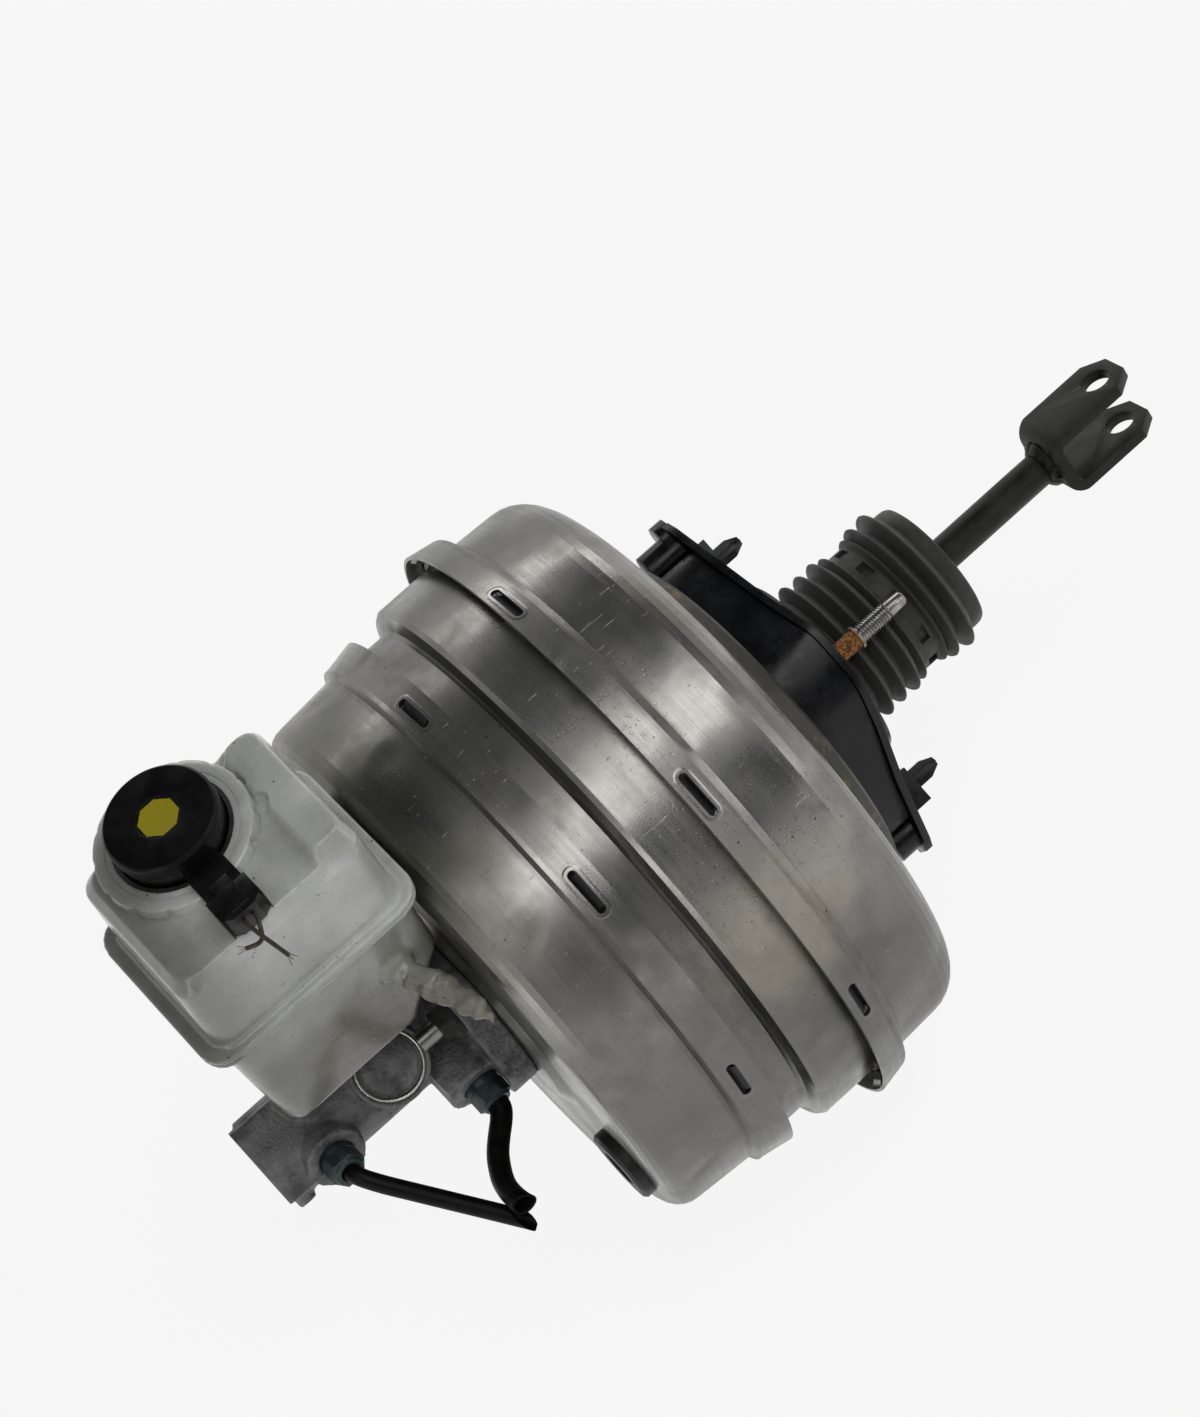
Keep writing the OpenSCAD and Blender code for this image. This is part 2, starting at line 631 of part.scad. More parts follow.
module mounting_studs() color("silver") rotate([pattern_turn, 0, 0]) for (s = [-1, 1])
    translate([0, 0, s * stud_ring_r]) rotate([0, 90, 0]) {
        base_r = stud_r + 0.2;
        base_x = seat_face_x + 1.5;
        collar_x = 7.6;
        point_x = stud_out - stud_point;
        translate([0, 0, dome_x - sheet_t - 3]) cylinder(r = stud_r + 4, h = 3, $fn = 48);
        translate([0, 0, dome_x - sheet_t]) cylinder(r = base_r, h = base_x - dome_x + sheet_t, $fn = 48);
        translate([0, 0, base_x]) cylinder(r = stud_r, h = collar_x - base_x, $fn = 48);
        translate([0, 0, collar_x]) cylinder(r = stud_r + 0.4, h = 1, $fn = 48);
        translate([0, 0, collar_x + 1]) cylinder(r = stud_r, h = point_x - collar_x - 1, $fn = 48);
        translate([0, 0, point_x]) cylinder(r1 = stud_r, r2 = stud_r - 0.8, h = 1, $fn = 48);
        translate([0, 0, point_x + 1]) cylinder(r = stud_r - 0.8, h = stud_point - 2, $fn = 48);
        translate([0, 0, stud_out - 1]) cylinder(r1 = stud_r - 0.8, r2 = stud_r - 1.4, h = 1, $fn = 48);
    }
// Outside of the bellows: three folds, the windowed collar, three folds and the end cylinder
bellows_outline = [[valley_r + 3, hub_end_x], [valley_r + 3, 0], [valley_r, 2.2], [fold_r - 0.3, 6], [valley_r, 9.6],
    [fold_r - 0.8, 13.2], [valley_r, 16.8], [fold_r - 0.6, 20.4], [valley_r + 0.2, 23], [fold_r - 2, 25.2],
    [collar_r, 27.2], [collar_r, 35.2], [fold_r - 2.2, 36.4], [valley_r + 0.2, 38.2], [fold_r - 0.3, 40.8],
    [valley_r, 44.4], [fold_r + 0.4, 48.2], [valley_r + 1, 51.4], [valley_r + 1.5, 52.2],
    [valley_r + 1, bellows_end_x - 2], [valley_r - 1, bellows_end_x], [rod_r + 3, bellows_end_x],
    [rod_r + 2.2, bellows_end_x + 1.6], [rod_r + free_gap + rubber_t, bellows_end_x + 1.8]];

module bellows() color("#3a3835") difference() {
    turned(concat(bellows_outline, [[rod_r + free_gap, bellows_end_x + 1.8]],
        [for (i = [len(bellows_outline) - 2:-1:2]) bellows_outline[i] + rubber_t * miter(bellows_outline, i)],
        [[hub_out_r + 0.2, 0.6], [hub_out_r + 0.2, hub_end_x]]));
    for (i = [0:window_count - 1]) rotate([i * 360 / window_count, 0, 0])
        translate([31.2 - window_l / 2, -window_w / 2, valley_r - 4]) cube([window_l, window_w, 8]);
}

module vacuum_grommet() color("black") outward(0, grommet_turn) translate([0, 0, grommet_ring_r])
    rotate([0, 90, 0]) translate([0, 0, front_face_x]) rotate_extrude($fn = 48) polygon([
        [grommet_bore_r, -5], [grommet_r - 1.2, -5], [grommet_r, -3.8], [grommet_r, 0], [grommet_r - 4.2, 0],
        [grommet_r - 4.2, sheet_t], [grommet_r - 2.5, sheet_t], [grommet_r - 3.5, sheet_t + 3],
        [grommet_bore_r, sheet_t + 4]]);

module valve_body() color("#2a2622") difference() {
    turned([[cavity_r, boss_front_x], [boss_r, boss_front_x], [boss_r, boss_rear_x], [tube_r, boss_rear_x],
        [tube_r, flange2_x], [flange2_r, flange2_x], [flange2_r, rear_plate_x], [neck_r + 4, rear_plate_x],
        [neck_r, rear_plate_x + 5], [neck_r, neck_end_x - neck_flange_l],
        [valley_r - rubber_t - 0.6, neck_end_x - neck_flange_l], [valley_r - rubber_t - 0.6, neck_end_x],
        [rear_bore_r, neck_end_x], [rear_bore_r, seat_x], [plunger_bore_r, seat_x], [plunger_bore_r, disc_x],
        [cavity_r, disc_x]]);
    translate([key_x - 0.3, -plunger_bore_r, -flange2_r]) cube([key_t + 0.6, 2 * plunger_bore_r, 2 * flange2_r]);
    for (i = [0:3]) rotate([45 + 90 * i, 0, 0]) translate([0, 0, 17.5]) bar(boss_front_x - 1, key_x - 6, 2.4);
}

// Front side of a diaphragm plate from its hub to its turned rim
function plate_outline(hub, x, wider) = [[hub, x], [plate_flat_r, x], [plate_foot_r, x - 3],
    [plate_r + wider - 6, x - 3], [plate_r + wider - 2, x - 5], [plate_r + wider, x - 9]];

// The flat part of a plate's back, which its diaphragm lies on
function plate_back(p) = [for (i = [0:2]) p[i] + (plate_t + 0.15) * miter(p, i)];

module front_plate() color("silver") turned(sheet(plate_outline(tube_r + 0.2, front_plate_x, 0), plate_t));

module rear_plate() color("silver") turned(sheet(plate_outline(neck_r + 4.4, rear_plate_x, 8), plate_t));

module front_diaphragm() color("#202020") {
    x = front_plate_x + plate_t + 0.1;
    wall = groove_r - sheet_t - diaphragm_t - 0.4;
    outline = concat(plate_back(plate_outline(tube_r + 0.2, front_plate_x, 0)), [[plate_r - 7, x - 2.95],
        [plate_r - 2, x - 0.5], [plate_r + 6, x - 2], [wall, x - 7], [wall, front_step_in + 0.1],
        [front_bead_r - 0.4, front_step_in + 0.1]]);
    turned(sheet(outline, diaphragm_t));
}

module rear_diaphragm() color("#202020") {
    x = rear_plate_x + plate_t + 0.1;
    wall = rear_shell_r - sheet_t - 4;
    outline = concat(plate_back(plate_outline(neck_r + 4.4, rear_plate_x, 8)), [[plate_r + 1, x - 2.95],
        [plate_r + 9, x - 1.6], [wall - 3, x - 6], [wall, x - 12], [wall, divider_x + 0.1],
        [rear_bead_r - 0.4, divider_x + 0.1]]);
    turned(sheet(outline, diaphragm_t));
}

module reaction_disc() color("black") bar(disc_x - disc_t, disc_x, disc_r);

module output_rod() color("silver") {
    bar(disc_x - disc_t - head_t, disc_x - disc_t, disc_r);
    bar(rod_tip_x + 2, disc_x - disc_t - head_t, output_r);
    translate([rod_tip_x, 0, 0]) rotate([0, 90, 0]) cylinder(r1 = output_r - 2, r2 = output_r, h = 2, $fn = fine);
}

module rod_retainer() color("silver") ring(boss_front_x - 1.2, boss_front_x, output_r + 0.5, spring_r - spring_wire - 2);

module return_spring() color("dimgray")
    coil(flange_x + sheet_t + 0.1, boss_front_x - 0.1, spring_r, spring_r, spring_wire, 5, 24, 8);

module stop_key() color("silver") difference() {
    translate([key_x, -plunger_bore_r + 0.2, -neck_r - 6]) cube([key_t, 2 * plunger_bore_r - 0.4, 2 * neck_r + 12]);
    bar(key_x - 1, key_x + key_t + 1, waist_r + 0.4);
    translate([key_x - 1, -waist_r - 0.4, -neck_r - 7]) cube([key_t + 2, 2 * waist_r + 0.8, neck_r + 7]);
}

module poppet_valve() color("black")
    turned([[poppet_in_r, poppet_x], [poppet_out_r, poppet_x], [poppet_out_r, retainer_x],
        [poppet_out_r - 1.4, retainer_x], [poppet_out_r - 1.4, poppet_x + 3], [poppet_in_r, poppet_x + 3]]);

module poppet_retainer() color("silver") ring(retainer_x, retainer_x + retainer_t, poppet_in_r + 0.8, rear_bore_r - 0.1);

module poppet_spring() color("silver")
    coil(poppet_x + 3.1, retainer_x - 0.1, poppet_out_r - 3.4, poppet_out_r - 3.4, 0.7, 3);

module rod_spring() color("silver")
    coil(retainer_x + retainer_t + 0.1, rod_seat_x - 0.1, 12.9, 12.9, 0.9, 4);

module air_filter() color("#4a4a46") ring(filter_x, neck_end_x - 0.5, rod_r + 4.9, rear_bore_r - 0.3);

module control_plunger() color("silver") difference() {
    turned([[0, plunger_front_x], [plunger_r, plunger_front_x], [plunger_r, key_x - 2.2],
        [waist_r, key_x - 1.2], [waist_r, key_x + key_t + 0.1 + plunger_travel],
        [plunger_r, key_x + key_t + 1.1 + plunger_travel], [plunger_r, plunger_head_x],
        [plunger_r + 2.5, plunger_head_x], [plunger_r + 2.5, plunger_end_x], [0, plunger_end_x]]);
    bar(ball_x, plunger_end_x + 1, ball_r - 1.2);
    translate([ball_x, 0, 0]) sphere(r = ball_r + 0.3, $fn = 48);
}

module push_rod() color("#38362f") {
    translate([ball_x, 0, 0]) sphere(r = ball_r, $fn = 48);
    bar(ball_x + 3, plunger_end_x + 5, 3.6);
    bar(plunger_end_x + 5, rod_seat_x, rod_r);
    bar(rod_seat_x, rod_seat_x + rod_seat_t, rod_seat_r);
    bar(rod_seat_x + rod_seat_t, clevis_x, rod_r);
}

// Section of the clevis as a U that opens towards the pedal
function clevis_section() =
    let (o = ear_gap / 2 + ear_t, i = ear_gap / 2, tip = clevis_x + clevis_reach + 10.6, ro = 7, ri = ro - ear_t)
    concat([[tip, -o]], arc([clevis_x + ro, -o + ro], ro, 270, 180, 5), arc([clevis_x + ro, o - ro], ro, 180, 90, 5),
        [[tip, o], [tip, i]], arc([clevis_x + ear_t + ri, i - ri], ri, 90, 180, 4),
        arc([clevis_x + ear_t + ri, -i + ri], ri, 180, 270, 4), [[tip, -i]]);

module clevis() color("#3c3a32") rotate([clevis_turn, 0, 0]) {
    hole_x = clevis_x + clevis_reach;
    difference() {
        intersection() {
            rotate([90, 0, 0]) translate([0, 0, -ear_half_w]) linear_extrude(2 * ear_half_w) polygon(clevis_section());
            translate([0, 0, -30]) linear_extrude(60) polygon([[clevis_x - 1, -ear_half_w + 1.5],
                [clevis_x + 6, -ear_half_w], [hole_x + 2, -ear_half_w], [hole_x + 10.6, -4.6], [hole_x + 10.6, 4.6],
                [hole_x + 2, ear_half_w], [clevis_x + 6, ear_half_w], [clevis_x - 1, ear_half_w - 1.5]]);
        }
        translate([hole_x, 0, -30]) cylinder(r = clevis_hole_r, h = 60, $fn = 64);
    }
    turned([[rod_r + 0.03, clevis_x - 3], [rod_r + 0.8, clevis_x - 3], [rod_r + 2.4, clevis_x],
        [rod_r + 0.03, clevis_x]]);
}

module master_cylinder() color("#77797b") difference() {
    union() {
        bar(front_end_x + 3, flange_x - 2, barrel_r);
        bar(flange_x, pilot_end_x, pilot_r);
        translate([flange_x - flange_t, 0, 0]) rotate([90, 0, 90]) linear_extrude(flange_t) union() {
            circle(r = flange_r, $fn = fine);
            for (s = [0, 180]) rotate(flange_turn + s) translate([flange_stud_ring, 0]) circle(r = 12, $fn = 48);
        }
        rotate([pattern_turn, 0, 0]) translate([front_end_x, -17.4, -18.5]) cube([25, 34.8, 37]);
        outward(rear_port_x, rear_port_turn) {
            cylinder(r = port_boss_r, h = rear_port_h, $fn = 64);
            translate([1 - port_boss_r, -port_boss_r + 1, 0]) cube([flange_x - rear_port_x + port_boss_r - 1.4,
                2 * port_boss_r - 2, rear_port_h - 3]);
        }
        outward(front_end_x + 6, pattern_turn + 180) translate([0, 0, 14]) cylinder(r = 4, h = 8, $fn = 32);
        outward(front_port_x, front_port_turn) cylinder(r = 12.5, h = front_port_h, $fn = 64);
        outward(plug_x, flange_turn) cylinder(r = plug_boss_r, h = plug_face, $fn = 64);
        for (x = [rear_inlet_x, front_inlet_x]) translate([x, 0, 0]) cylinder(r = inlet_boss_r, h = inlet_top_z, $fn = 64);
        for (y = [tongue_y - 4.3, tongue_y + tongue_t + 0.3]) translate([lug_x - 6, y, 10]) cube([12, 4, lug_z - 4]);
    }
    bar(bore_end_x, pilot_end_x + 1, bore_r);
    ring(circlip_x - circlip_t / 2 - 0.1, circlip_x + circlip_t / 2 + 0.1, bore_r - 1, bore_r + 1.4);
    translate([flange_x - 2.7, 0, 0]) rotate([0, 90, 0]) rotate_extrude($fn = fine) translate([o_ring_r - 1.6, 0]) square([3.2, 3.7]);
    for (s = [0, 180]) outward(0, flange_turn + s) translate([0, 0, flange_stud_ring]) rotate([0, 90, 0])
        translate([0, 0, flange_x - flange_t - 1]) cylinder(r = stud_r + 0.3, h = flange_t + 2, $fn = 48);
    outward(rear_port_x, rear_port_turn) {
        translate([0, 0, rear_port_h - nut_grip]) cylinder(r = nut_r + 0.1, h = nut_grip + 1, $fn = 48);
        cylinder(r = 2.5, h = rear_port_h, $fn = 32);
    }
    outward(front_port_x, front_port_turn) {
        translate([0, 0, front_port_h - nut_grip]) cylinder(r = nut_r + 0.1, h = nut_grip + 1, $fn = 48);
        cylinder(r = 2.5, h = front_port_h, $fn = 32);
    }
    outward(plug_x, flange_turn) translate([0, 0, plug_face - plug_sink]) cylinder(r = side_plug_r + 0.1, h = plug_sink + 1, $fn = 64);
    outward(plug_x, flange_turn) translate([0, 0, plug_face - 1.9]) cylinder(r = side_plug_r + 1.7, h = 3, $fn = 64);
    for (x = [rear_inlet_x, front_inlet_x]) translate([x, 0, 0]) {
        translate([0, 0, inlet_top_z - 8]) cylinder(r = inlet_seat_r, h = 9, $fn = 64);
        cylinder(r = 2, h = inlet_top_z, $fn = 32);
    }
    translate([lug_x, 0, lug_z]) rotate([-90, 0, 0]) cylinder(r = 2.05, h = 30, $fn = 32);
}

module flange_o_ring() color("black") translate([flange_x - 1.35, 0, 0]) rotate([0, 90, 0])
    rotate_extrude($fn = fine) translate([o_ring_r, 0]) circle(r = 1.3, $fn = 32);

module flange_studs() color("dimgray") for (s = [0, 180]) outward(0, flange_turn + s)
    translate([0, 0, flange_stud_ring]) rotate([0, 90, 0]) {
        translate([0, 0, stud_tip_x]) cylinder(r = stud_r, h = flange_x + sheet_t - stud_tip_x, $fn = 48);
        translate([0, 0, flange_x + sheet_t]) cylinder(r = stud_r + 3, h = 3, $fn = 48);
    }

module flange_nuts() color("#50545a") for (s = [0, 180]) outward(0, flange_turn + s)
    translate([0, 0, flange_stud_ring]) rotate([0, 90, 0]) difference() {
        union() {
            translate([0, 0, flange_x - flange_t - 1.5]) cylinder(r = 8.4, h = 1.5, $fn = 48);
            translate([0, 0, flange_x - flange_t - flange_nut_h]) cylinder(r = 7, h = flange_nut_h - 1.5, $fn = 6);
        }
        translate([0, 0, flange_x - flange_t - flange_nut_h - 1]) cylinder(r = stud_r + 0.02, h = flange_nut_h + 2, $fn = 48);
    }

module bore_circlip() color("silver") difference() {
    ring(circlip_x - circlip_t / 2, circlip_x + circlip_t / 2, bore_r - 1.9, bore_r + 1.3);
    translate([circlip_x - 2, -3, -bore_r - 3]) cube([4, 6, 6]);
}

module side_plug() color("#5a5c5e") outward(plug_x, flange_turn) translate([0, 0, plug_face - plug_sink]) {
    cylinder(r = side_plug_r, h = 1.1, $fn = 64);
    translate([0, 0, 1.1]) cylinder(r = side_plug_r - 1.6, h = 1.2, $fn = 64);
}

module plug_wire_ring() color("#c8c8c4") outward(plug_x, flange_turn) translate([0, 0, plug_face - 1.1])
    rotate_extrude($fn = 64) translate([side_plug_r + 0.7, 0]) circle(r = 0.75, $fn = 24);

module flare_nut(x, turn, h) outward(x, turn) translate([0, 0, h - nut_grip]) difference() {
    union() {
        cylinder(r = nut_r, h = 6.5, $fn = 48);
        translate([0, 0, 6.5]) cylinder(r = nut_r + 0.5, h = nut_l - 6.5, $fn = 6);
        translate([0, 0, nut_l]) cylinder(r1 = nut_r - 0.6, r2 = nut_r - 1.4, h = 1.5, $fn = 48);
    }
    translate([0, 0, -1]) cylinder(r = pipe_r + 0.1, h = nut_l + 4, $fn = 48);
}

module flare_nuts() color("#3d4b52") {
    flare_nut(rear_port_x, rear_port_turn, rear_port_h);
    flare_nut(front_port_x, front_port_turn, front_port_h);
}

// A point on the line of a port, at a distance from the axis
function on_port(x, turn, d) = [x, d * cos(turn), d * sin(turn)];

module front_pipe() color("#101112") swept(concat(
    [for (d = [-3.5, 5, 12]) on_port(front_port_x, front_port_turn, front_port_h + d)], front_pipe_route), pipe_r, 12);

module rear_pipe() color("#101112") swept(concat(
    [for (d = [-3.5, 5, 12]) on_port(rear_port_x, rear_port_turn, rear_port_h + d)], rear_pipe_route), pipe_r, 12);

module primary_piston() color("#b8b8b0") turned([[0, primary_front_x], [piston_r - 1.5, primary_front_x],
    [piston_r - 1.5, primary_front_x + 5], [piston_r, primary_front_x + 5], [piston_r, primary_rear_x - 8],
    [piston_r - 2.2, primary_rear_x - 8], [piston_r - 2.2, primary_rear_x - 4], [piston_r, primary_rear_x - 4],
    [piston_r, primary_rear_x], [piston_r - 2.4, primary_rear_x], [piston_r - 2.4, primary_tail_x],
    [socket_r, primary_tail_x], [socket_r, socket_x], [0, socket_x]]);

module primary_cups() color("black") {
    ring(primary_front_x + 0.8, primary_front_x + 4.8, piston_r - 1.45, piston_r);
    ring(primary_rear_x - 7.8, primary_rear_x - 4.2, piston_r - 2.15, piston_r);
}

module secondary_piston() color("#b8b8b0") turned([[0, secondary_front_x], [piston_r - 1.5, secondary_front_x],
    [piston_r - 1.5, secondary_front_x + 4.5], [piston_r, secondary_front_x + 4.5],
    [piston_r, secondary_rear_x - 4.5], [piston_r - 1.5, secondary_rear_x - 4.5],
    [piston_r - 1.5, secondary_rear_x], [0, secondary_rear_x]]);

module secondary_cups() color("black") {
    ring(secondary_front_x + 0.6, secondary_front_x + 4.4, piston_r - 1.45, piston_r);
    ring(secondary_rear_x - 4.4, secondary_rear_x - 0.6, piston_r - 1.45, piston_r);
}

module primary_spring() color("silver") coil(secondary_rear_x + 0.1, primary_front_x - 0.1, 8, 8, 0.8, 4, 16);

module secondary_spring() color("silver") coil(bore_end_x + 0.1, secondary_front_x - 0.1, 8, 8, 0.8, 3, 16);

module inlet_grommets() color("black") for (x = [rear_inlet_x, front_inlet_x]) translate([x, 0, 0])
    rotate_extrude($fn = 64) polygon([[spigot_r + 0.1, inlet_top_z - 7.9], [inlet_seat_r - 0.1, inlet_top_z - 7.9],
        [inlet_seat_r - 0.1, inlet_top_z], [inlet_boss_r - 0.5, inlet_top_z], [inlet_boss_r - 0.5, inlet_top_z + 2],
        [inlet_boss_r - 1.6, inlet_top_z + 3], [spigot_r + 0.1, inlet_top_z + 3]]);

module slab(outline, z, h) translate([0, 0, z]) linear_extrude(h) polygon(outline);

// Solid form of the lower tank, smaller all round by an inset
module lower_form(inset) {
    hull() {
        slab(rounded_box(foot_x0 + inset, foot_x1 - inset, -lower_half_w + inset, lower_half_w - inset, 7), tank_bottom_z + inset, 1);
        slab(rounded_box(foot_x0 - 2 + inset, tank_rear_x - inset, -34.5 + inset, 34.5 - inset, 8), step_z + inset, 1);
    }
    hull() {
        slab(rounded_box(foot_x0 - 2 + inset, tank_rear_x - inset, -34.5 + inset, 34.5 - inset, 8), step_z + inset, 1);
        slab(rounded_box(tank_front_x + inset, tank_rear_x - inset, -tank_half_w + inset, tank_half_w - inset, 8), rim_z - 1, 1);
    }
}

module weld_rim(z) difference() {
    slab(rounded_box(tank_front_x - rim_w - 1, tank_rear_x + rim_w, -tank_half_w - rim_w + 1, tank_half_w + rim_w, 11), z, rim_t);
    slab(rounded_box(tank_front_x + 1, tank_rear_x - 1, -tank_half_w + 1, tank_half_w - 1, 8), z - 1, rim_t + 2);
}

module reservoir_lower() color("#a8a898", 0.7) {
    difference() {
        union() {
            lower_form(0);
            for (x = [rear_inlet_x, front_inlet_x]) translate([x, 0, inlet_top_z - 5])
                cylinder(r = spigot_r, h = step_z - inlet_top_z + 10, $fn = 48);
            translate([nipple_x, -tank_half_w + 8, nipple_z]) rotate([0, 0, nipple_turn]) rotate([0, 90, 0]) {
                cylinder(r = nipple_r + 1.6, h = 12, $fn = 48);
                cylinder(r = nipple_r, h = nipple_l, $fn = 48);
                translate([0, 0, nipple_l - 4]) cylinder(r1 = nipple_r + 0.7, r2 = nipple_r, h = 3, $fn = 48);
            }
            translate([lug_x - 5, tongue_y, lug_z - 5]) cube([10, tongue_t, tank_bottom_z - lug_z + 7]);
        }
        difference() {
            lower_form(tank_t);
            translate([-400, -60, rim_z - 0.5]) cube([300, 120, 10]);
        }
        slab(rounded_box(tank_front_x + tank_t, tank_rear_x - tank_t, -tank_half_w + tank_t, tank_half_w - tank_t, 7), rim_z - 1.5, 4);
        for (x = [rear_inlet_x, front_inlet_x]) translate([x, 0, inlet_top_z - 6]) cylinder(r = spigot_r - 2.2, h = step_z - 10, $fn = 48);
        translate([nipple_x, -tank_half_w + 8, nipple_z]) rotate([0, 0, nipple_turn]) rotate([0, 90, 0])
            translate([0, 0, -2]) cylinder(r = nipple_r - 1.6, h = nipple_l + 4, $fn = 48);
        translate([lug_x, 0, lug_z]) rotate([-90, 0, 0]) cylinder(r = 2.05, h = 30, $fn = 32);
    }
    weld_rim(rim_z - rim_t);
}

// Solid form of the upper tank with its raised back, smaller all round by an inset
module upper_form(inset) {
    x0 = tank_front_x + inset;
    x1 = tank_rear_x - inset;
    w = tank_half_w - inset;
    hull() {
        slab(rounded_box(x0, x1, -w, w, top_r), rim_z, 1);
        slab(rounded_box(x0 + 1.5, x1 - 1, -w + 1.5, w - 1, top_r), tank_top_z - 6 - inset, 1);
        slab(rounded_box(x0 + 5, x1 - 4, -w + 5, w - 4, top_r), tank_top_z - 1 - inset, 1);
    }
    hull() {
        slab(rounded_box(x1 - 22 + 2.6 * inset, x1 - 1, -w + 3 + inset, w - 2 - inset, 5), tank_top_z - 3 - inset, 1);
        slab(rounded_box(x1 - 17 + 2.6 * inset, x1 - 3, -w + 9 + inset, w - 6 - inset, 5), tank_top_z + 4 - inset, 1);
    }
}

module reservoir_upper() color("#b4b4a8", 0.7) {
    difference() {
        union() {
            upper_form(0);
            translate([neck_x, neck_y, tank_top_z - 1]) cylinder(r1 = neck_foot_r, r2 = neck_top_r + 1, h = neck_h, $fn = 64);
            translate([neck_x, neck_y, tank_top_z - 1]) cylinder(r = neck_top_r, h = neck_h + 1, $fn = 64);
        }
        translate([0, 0, -0.5]) upper_form(tank_t);
        translate([neck_x, neck_y, tank_top_z - 8]) cylinder(r = neck_bore_r, h = neck_h + 12, $fn = 64);
        for (i = [0:flute_count - 1]) translate([neck_x, neck_y, tank_top_z + 1.2]) rotate(i * 360 / flute_count)
            translate([neck_foot_r + 1.5, 0, 0]) cylinder(r = 4.6, h = 10, $fn = 32);
    }
    weld_rim(rim_z);
}

module reservoir_pin() color("dimgray") translate([lug_x, tongue_y - 5, lug_z]) rotate([-90, 0, 0])
    cylinder(r = 2, h = tongue_t + 10, $fn = 32);

module return_hose() color("#c9c9bd") translate([nipple_x, -tank_half_w + 8, nipple_z]) rotate([0, 0, nipple_turn])
    rotate([0, 90, 0]) translate([0, 0, 16]) difference() {
        cylinder(r = nipple_r + 2.6, h = 34, $fn = 48);
        translate([0, 0, -1]) cylinder(r = nipple_r + 0.75, h = 36, $fn = 48);
        translate([0, 0, 22]) rotate([0, 38, 0]) translate([-40, -20, 0]) cube([80, 40, 40]);
    }

module sensor_head() color("#141414") translate([neck_x, neck_y, 0]) difference() {
    union() {
        translate([0, 0, tank_top_z - 4]) cylinder(r = head_r, h = arm_z - tank_top_z + 4, $fn = 64);
        translate([0, 0, arm_z]) cylinder(r = head_flange_r, h = arm_h, $fn = 64);
        translate([-arm_w / 2, -arm_reach + 8, arm_z]) cube([arm_w, arm_reach - 8, arm_h]);
        translate([-arm_w / 2 - 0.8, -arm_reach, arm_z - 1.2]) cube([arm_w + 1.6, 14, arm_h + 2]);
        translate([0, 0, arm_z]) cylinder(r = cap_pivot_r, h = arm_h + cap_h - 2.4, $fn = 48);
    }
    translate([-arm_w / 2 + 1.2, -arm_reach - 1, arm_z]) cube([arm_w - 2.4, 12, arm_h - 0.8]);
    translate([0, 0, tank_top_z - 5]) cylinder(r = stem_r + 0.02, h = 7, $fn = 48);
    difference() {
        translate([0, 0, tank_top_z - 5]) cylinder(r = head_r - 2.5, h = 6, $fn = 64);
        translate([0, 0, tank_top_z - 6]) cylinder(r = stem_r + 2.5, h = 8, $fn = 48);
    }
}

module sensor_stem() color("#1c1c1c") translate([neck_x, neck_y, 0]) {
    translate([0, 0, stem_low_z + 3]) cylinder(r = stem_r, h = tank_top_z + 2 - stem_low_z - 3, $fn = 48);
    translate([0, 0, stem_low_z]) cylinder(r = stem_clip_r, h = 3, $fn = 48);
}

module cap_seal() color("black") translate([neck_x, neck_y, neck_top_z + 0.02])
    rotate_extrude($fn = 64) translate([head_r + 0.05, 0]) square([1.6, 0.26]);

module sensor_float() color("#d8d4c4") translate([neck_x, neck_y, float_rest_z]) difference() {
    cylinder(r = float_r, h = float_h, $fn = 48);
    translate([0, 0, -1]) cylinder(r = stem_r + 0.6, h = float_h + 2, $fn = 48);
}

module filler_cap() color("#121212") translate([neck_x, neck_y, cap_z]) difference() {
    union() {
        cylinder(r = cap_r, h = cap_h - 1.2, $fn = 96);
        translate([0, 0, cap_h - 1.2]) cylinder(r1 = cap_r, r2 = cap_r - 1.2, h = 1.2, $fn = 96);
    }
    difference() {
        translate([0, 0, -1]) cylinder(r = cap_r - 4, h = cap_h - 0.6, $fn = 64);
        translate([0, 0, -2]) cylinder(r = cap_pivot_r + 2.3, h = cap_h + 2, $fn = 48);
    }
    translate([0, 0, -1]) cylinder(r = cap_pivot_r + free_gap, h = cap_h - 0.6, $fn = 48);
    translate([0, 0, cap_h - 0.5]) cylinder(r = 9.4, h = 1, $fn = 64);
}

module connector_plug() color("#181818") translate([neck_x, neck_y - arm_reach, 0]) {
    translate([-arm_w / 2 + 1.4, -1, arm_z + 0.2]) cube([arm_w - 2.8, 10.2, arm_h - 1.2]);
    difference() {
        translate([-arm_w / 2 - 1.8, -14, plug_z]) cube([arm_w + 3.6, 14, plug_top_z - plug_z]);
        translate([-arm_w / 2 - 3, -15, plug_z - 1]) rotate([0, 0, -35]) cube([8, 4, 20]);
        translate([arm_w / 2 + 3, -15, plug_z - 1]) mirror([1, 0, 0]) rotate([0, 0, -35]) cube([8, 4, 20]);
    }
    translate([-4, -12, plug_top_z]) cube([8, 16, 1.6]);
    translate([-4, 2, plug_top_z - 0.2]) cube([8, 2, 1.8]);
}

module sensor_wires() color("#55503a") {
    swept(wire_a_route, wire_r, 8);
    swept(wire_b_route, wire_r, 8);
}

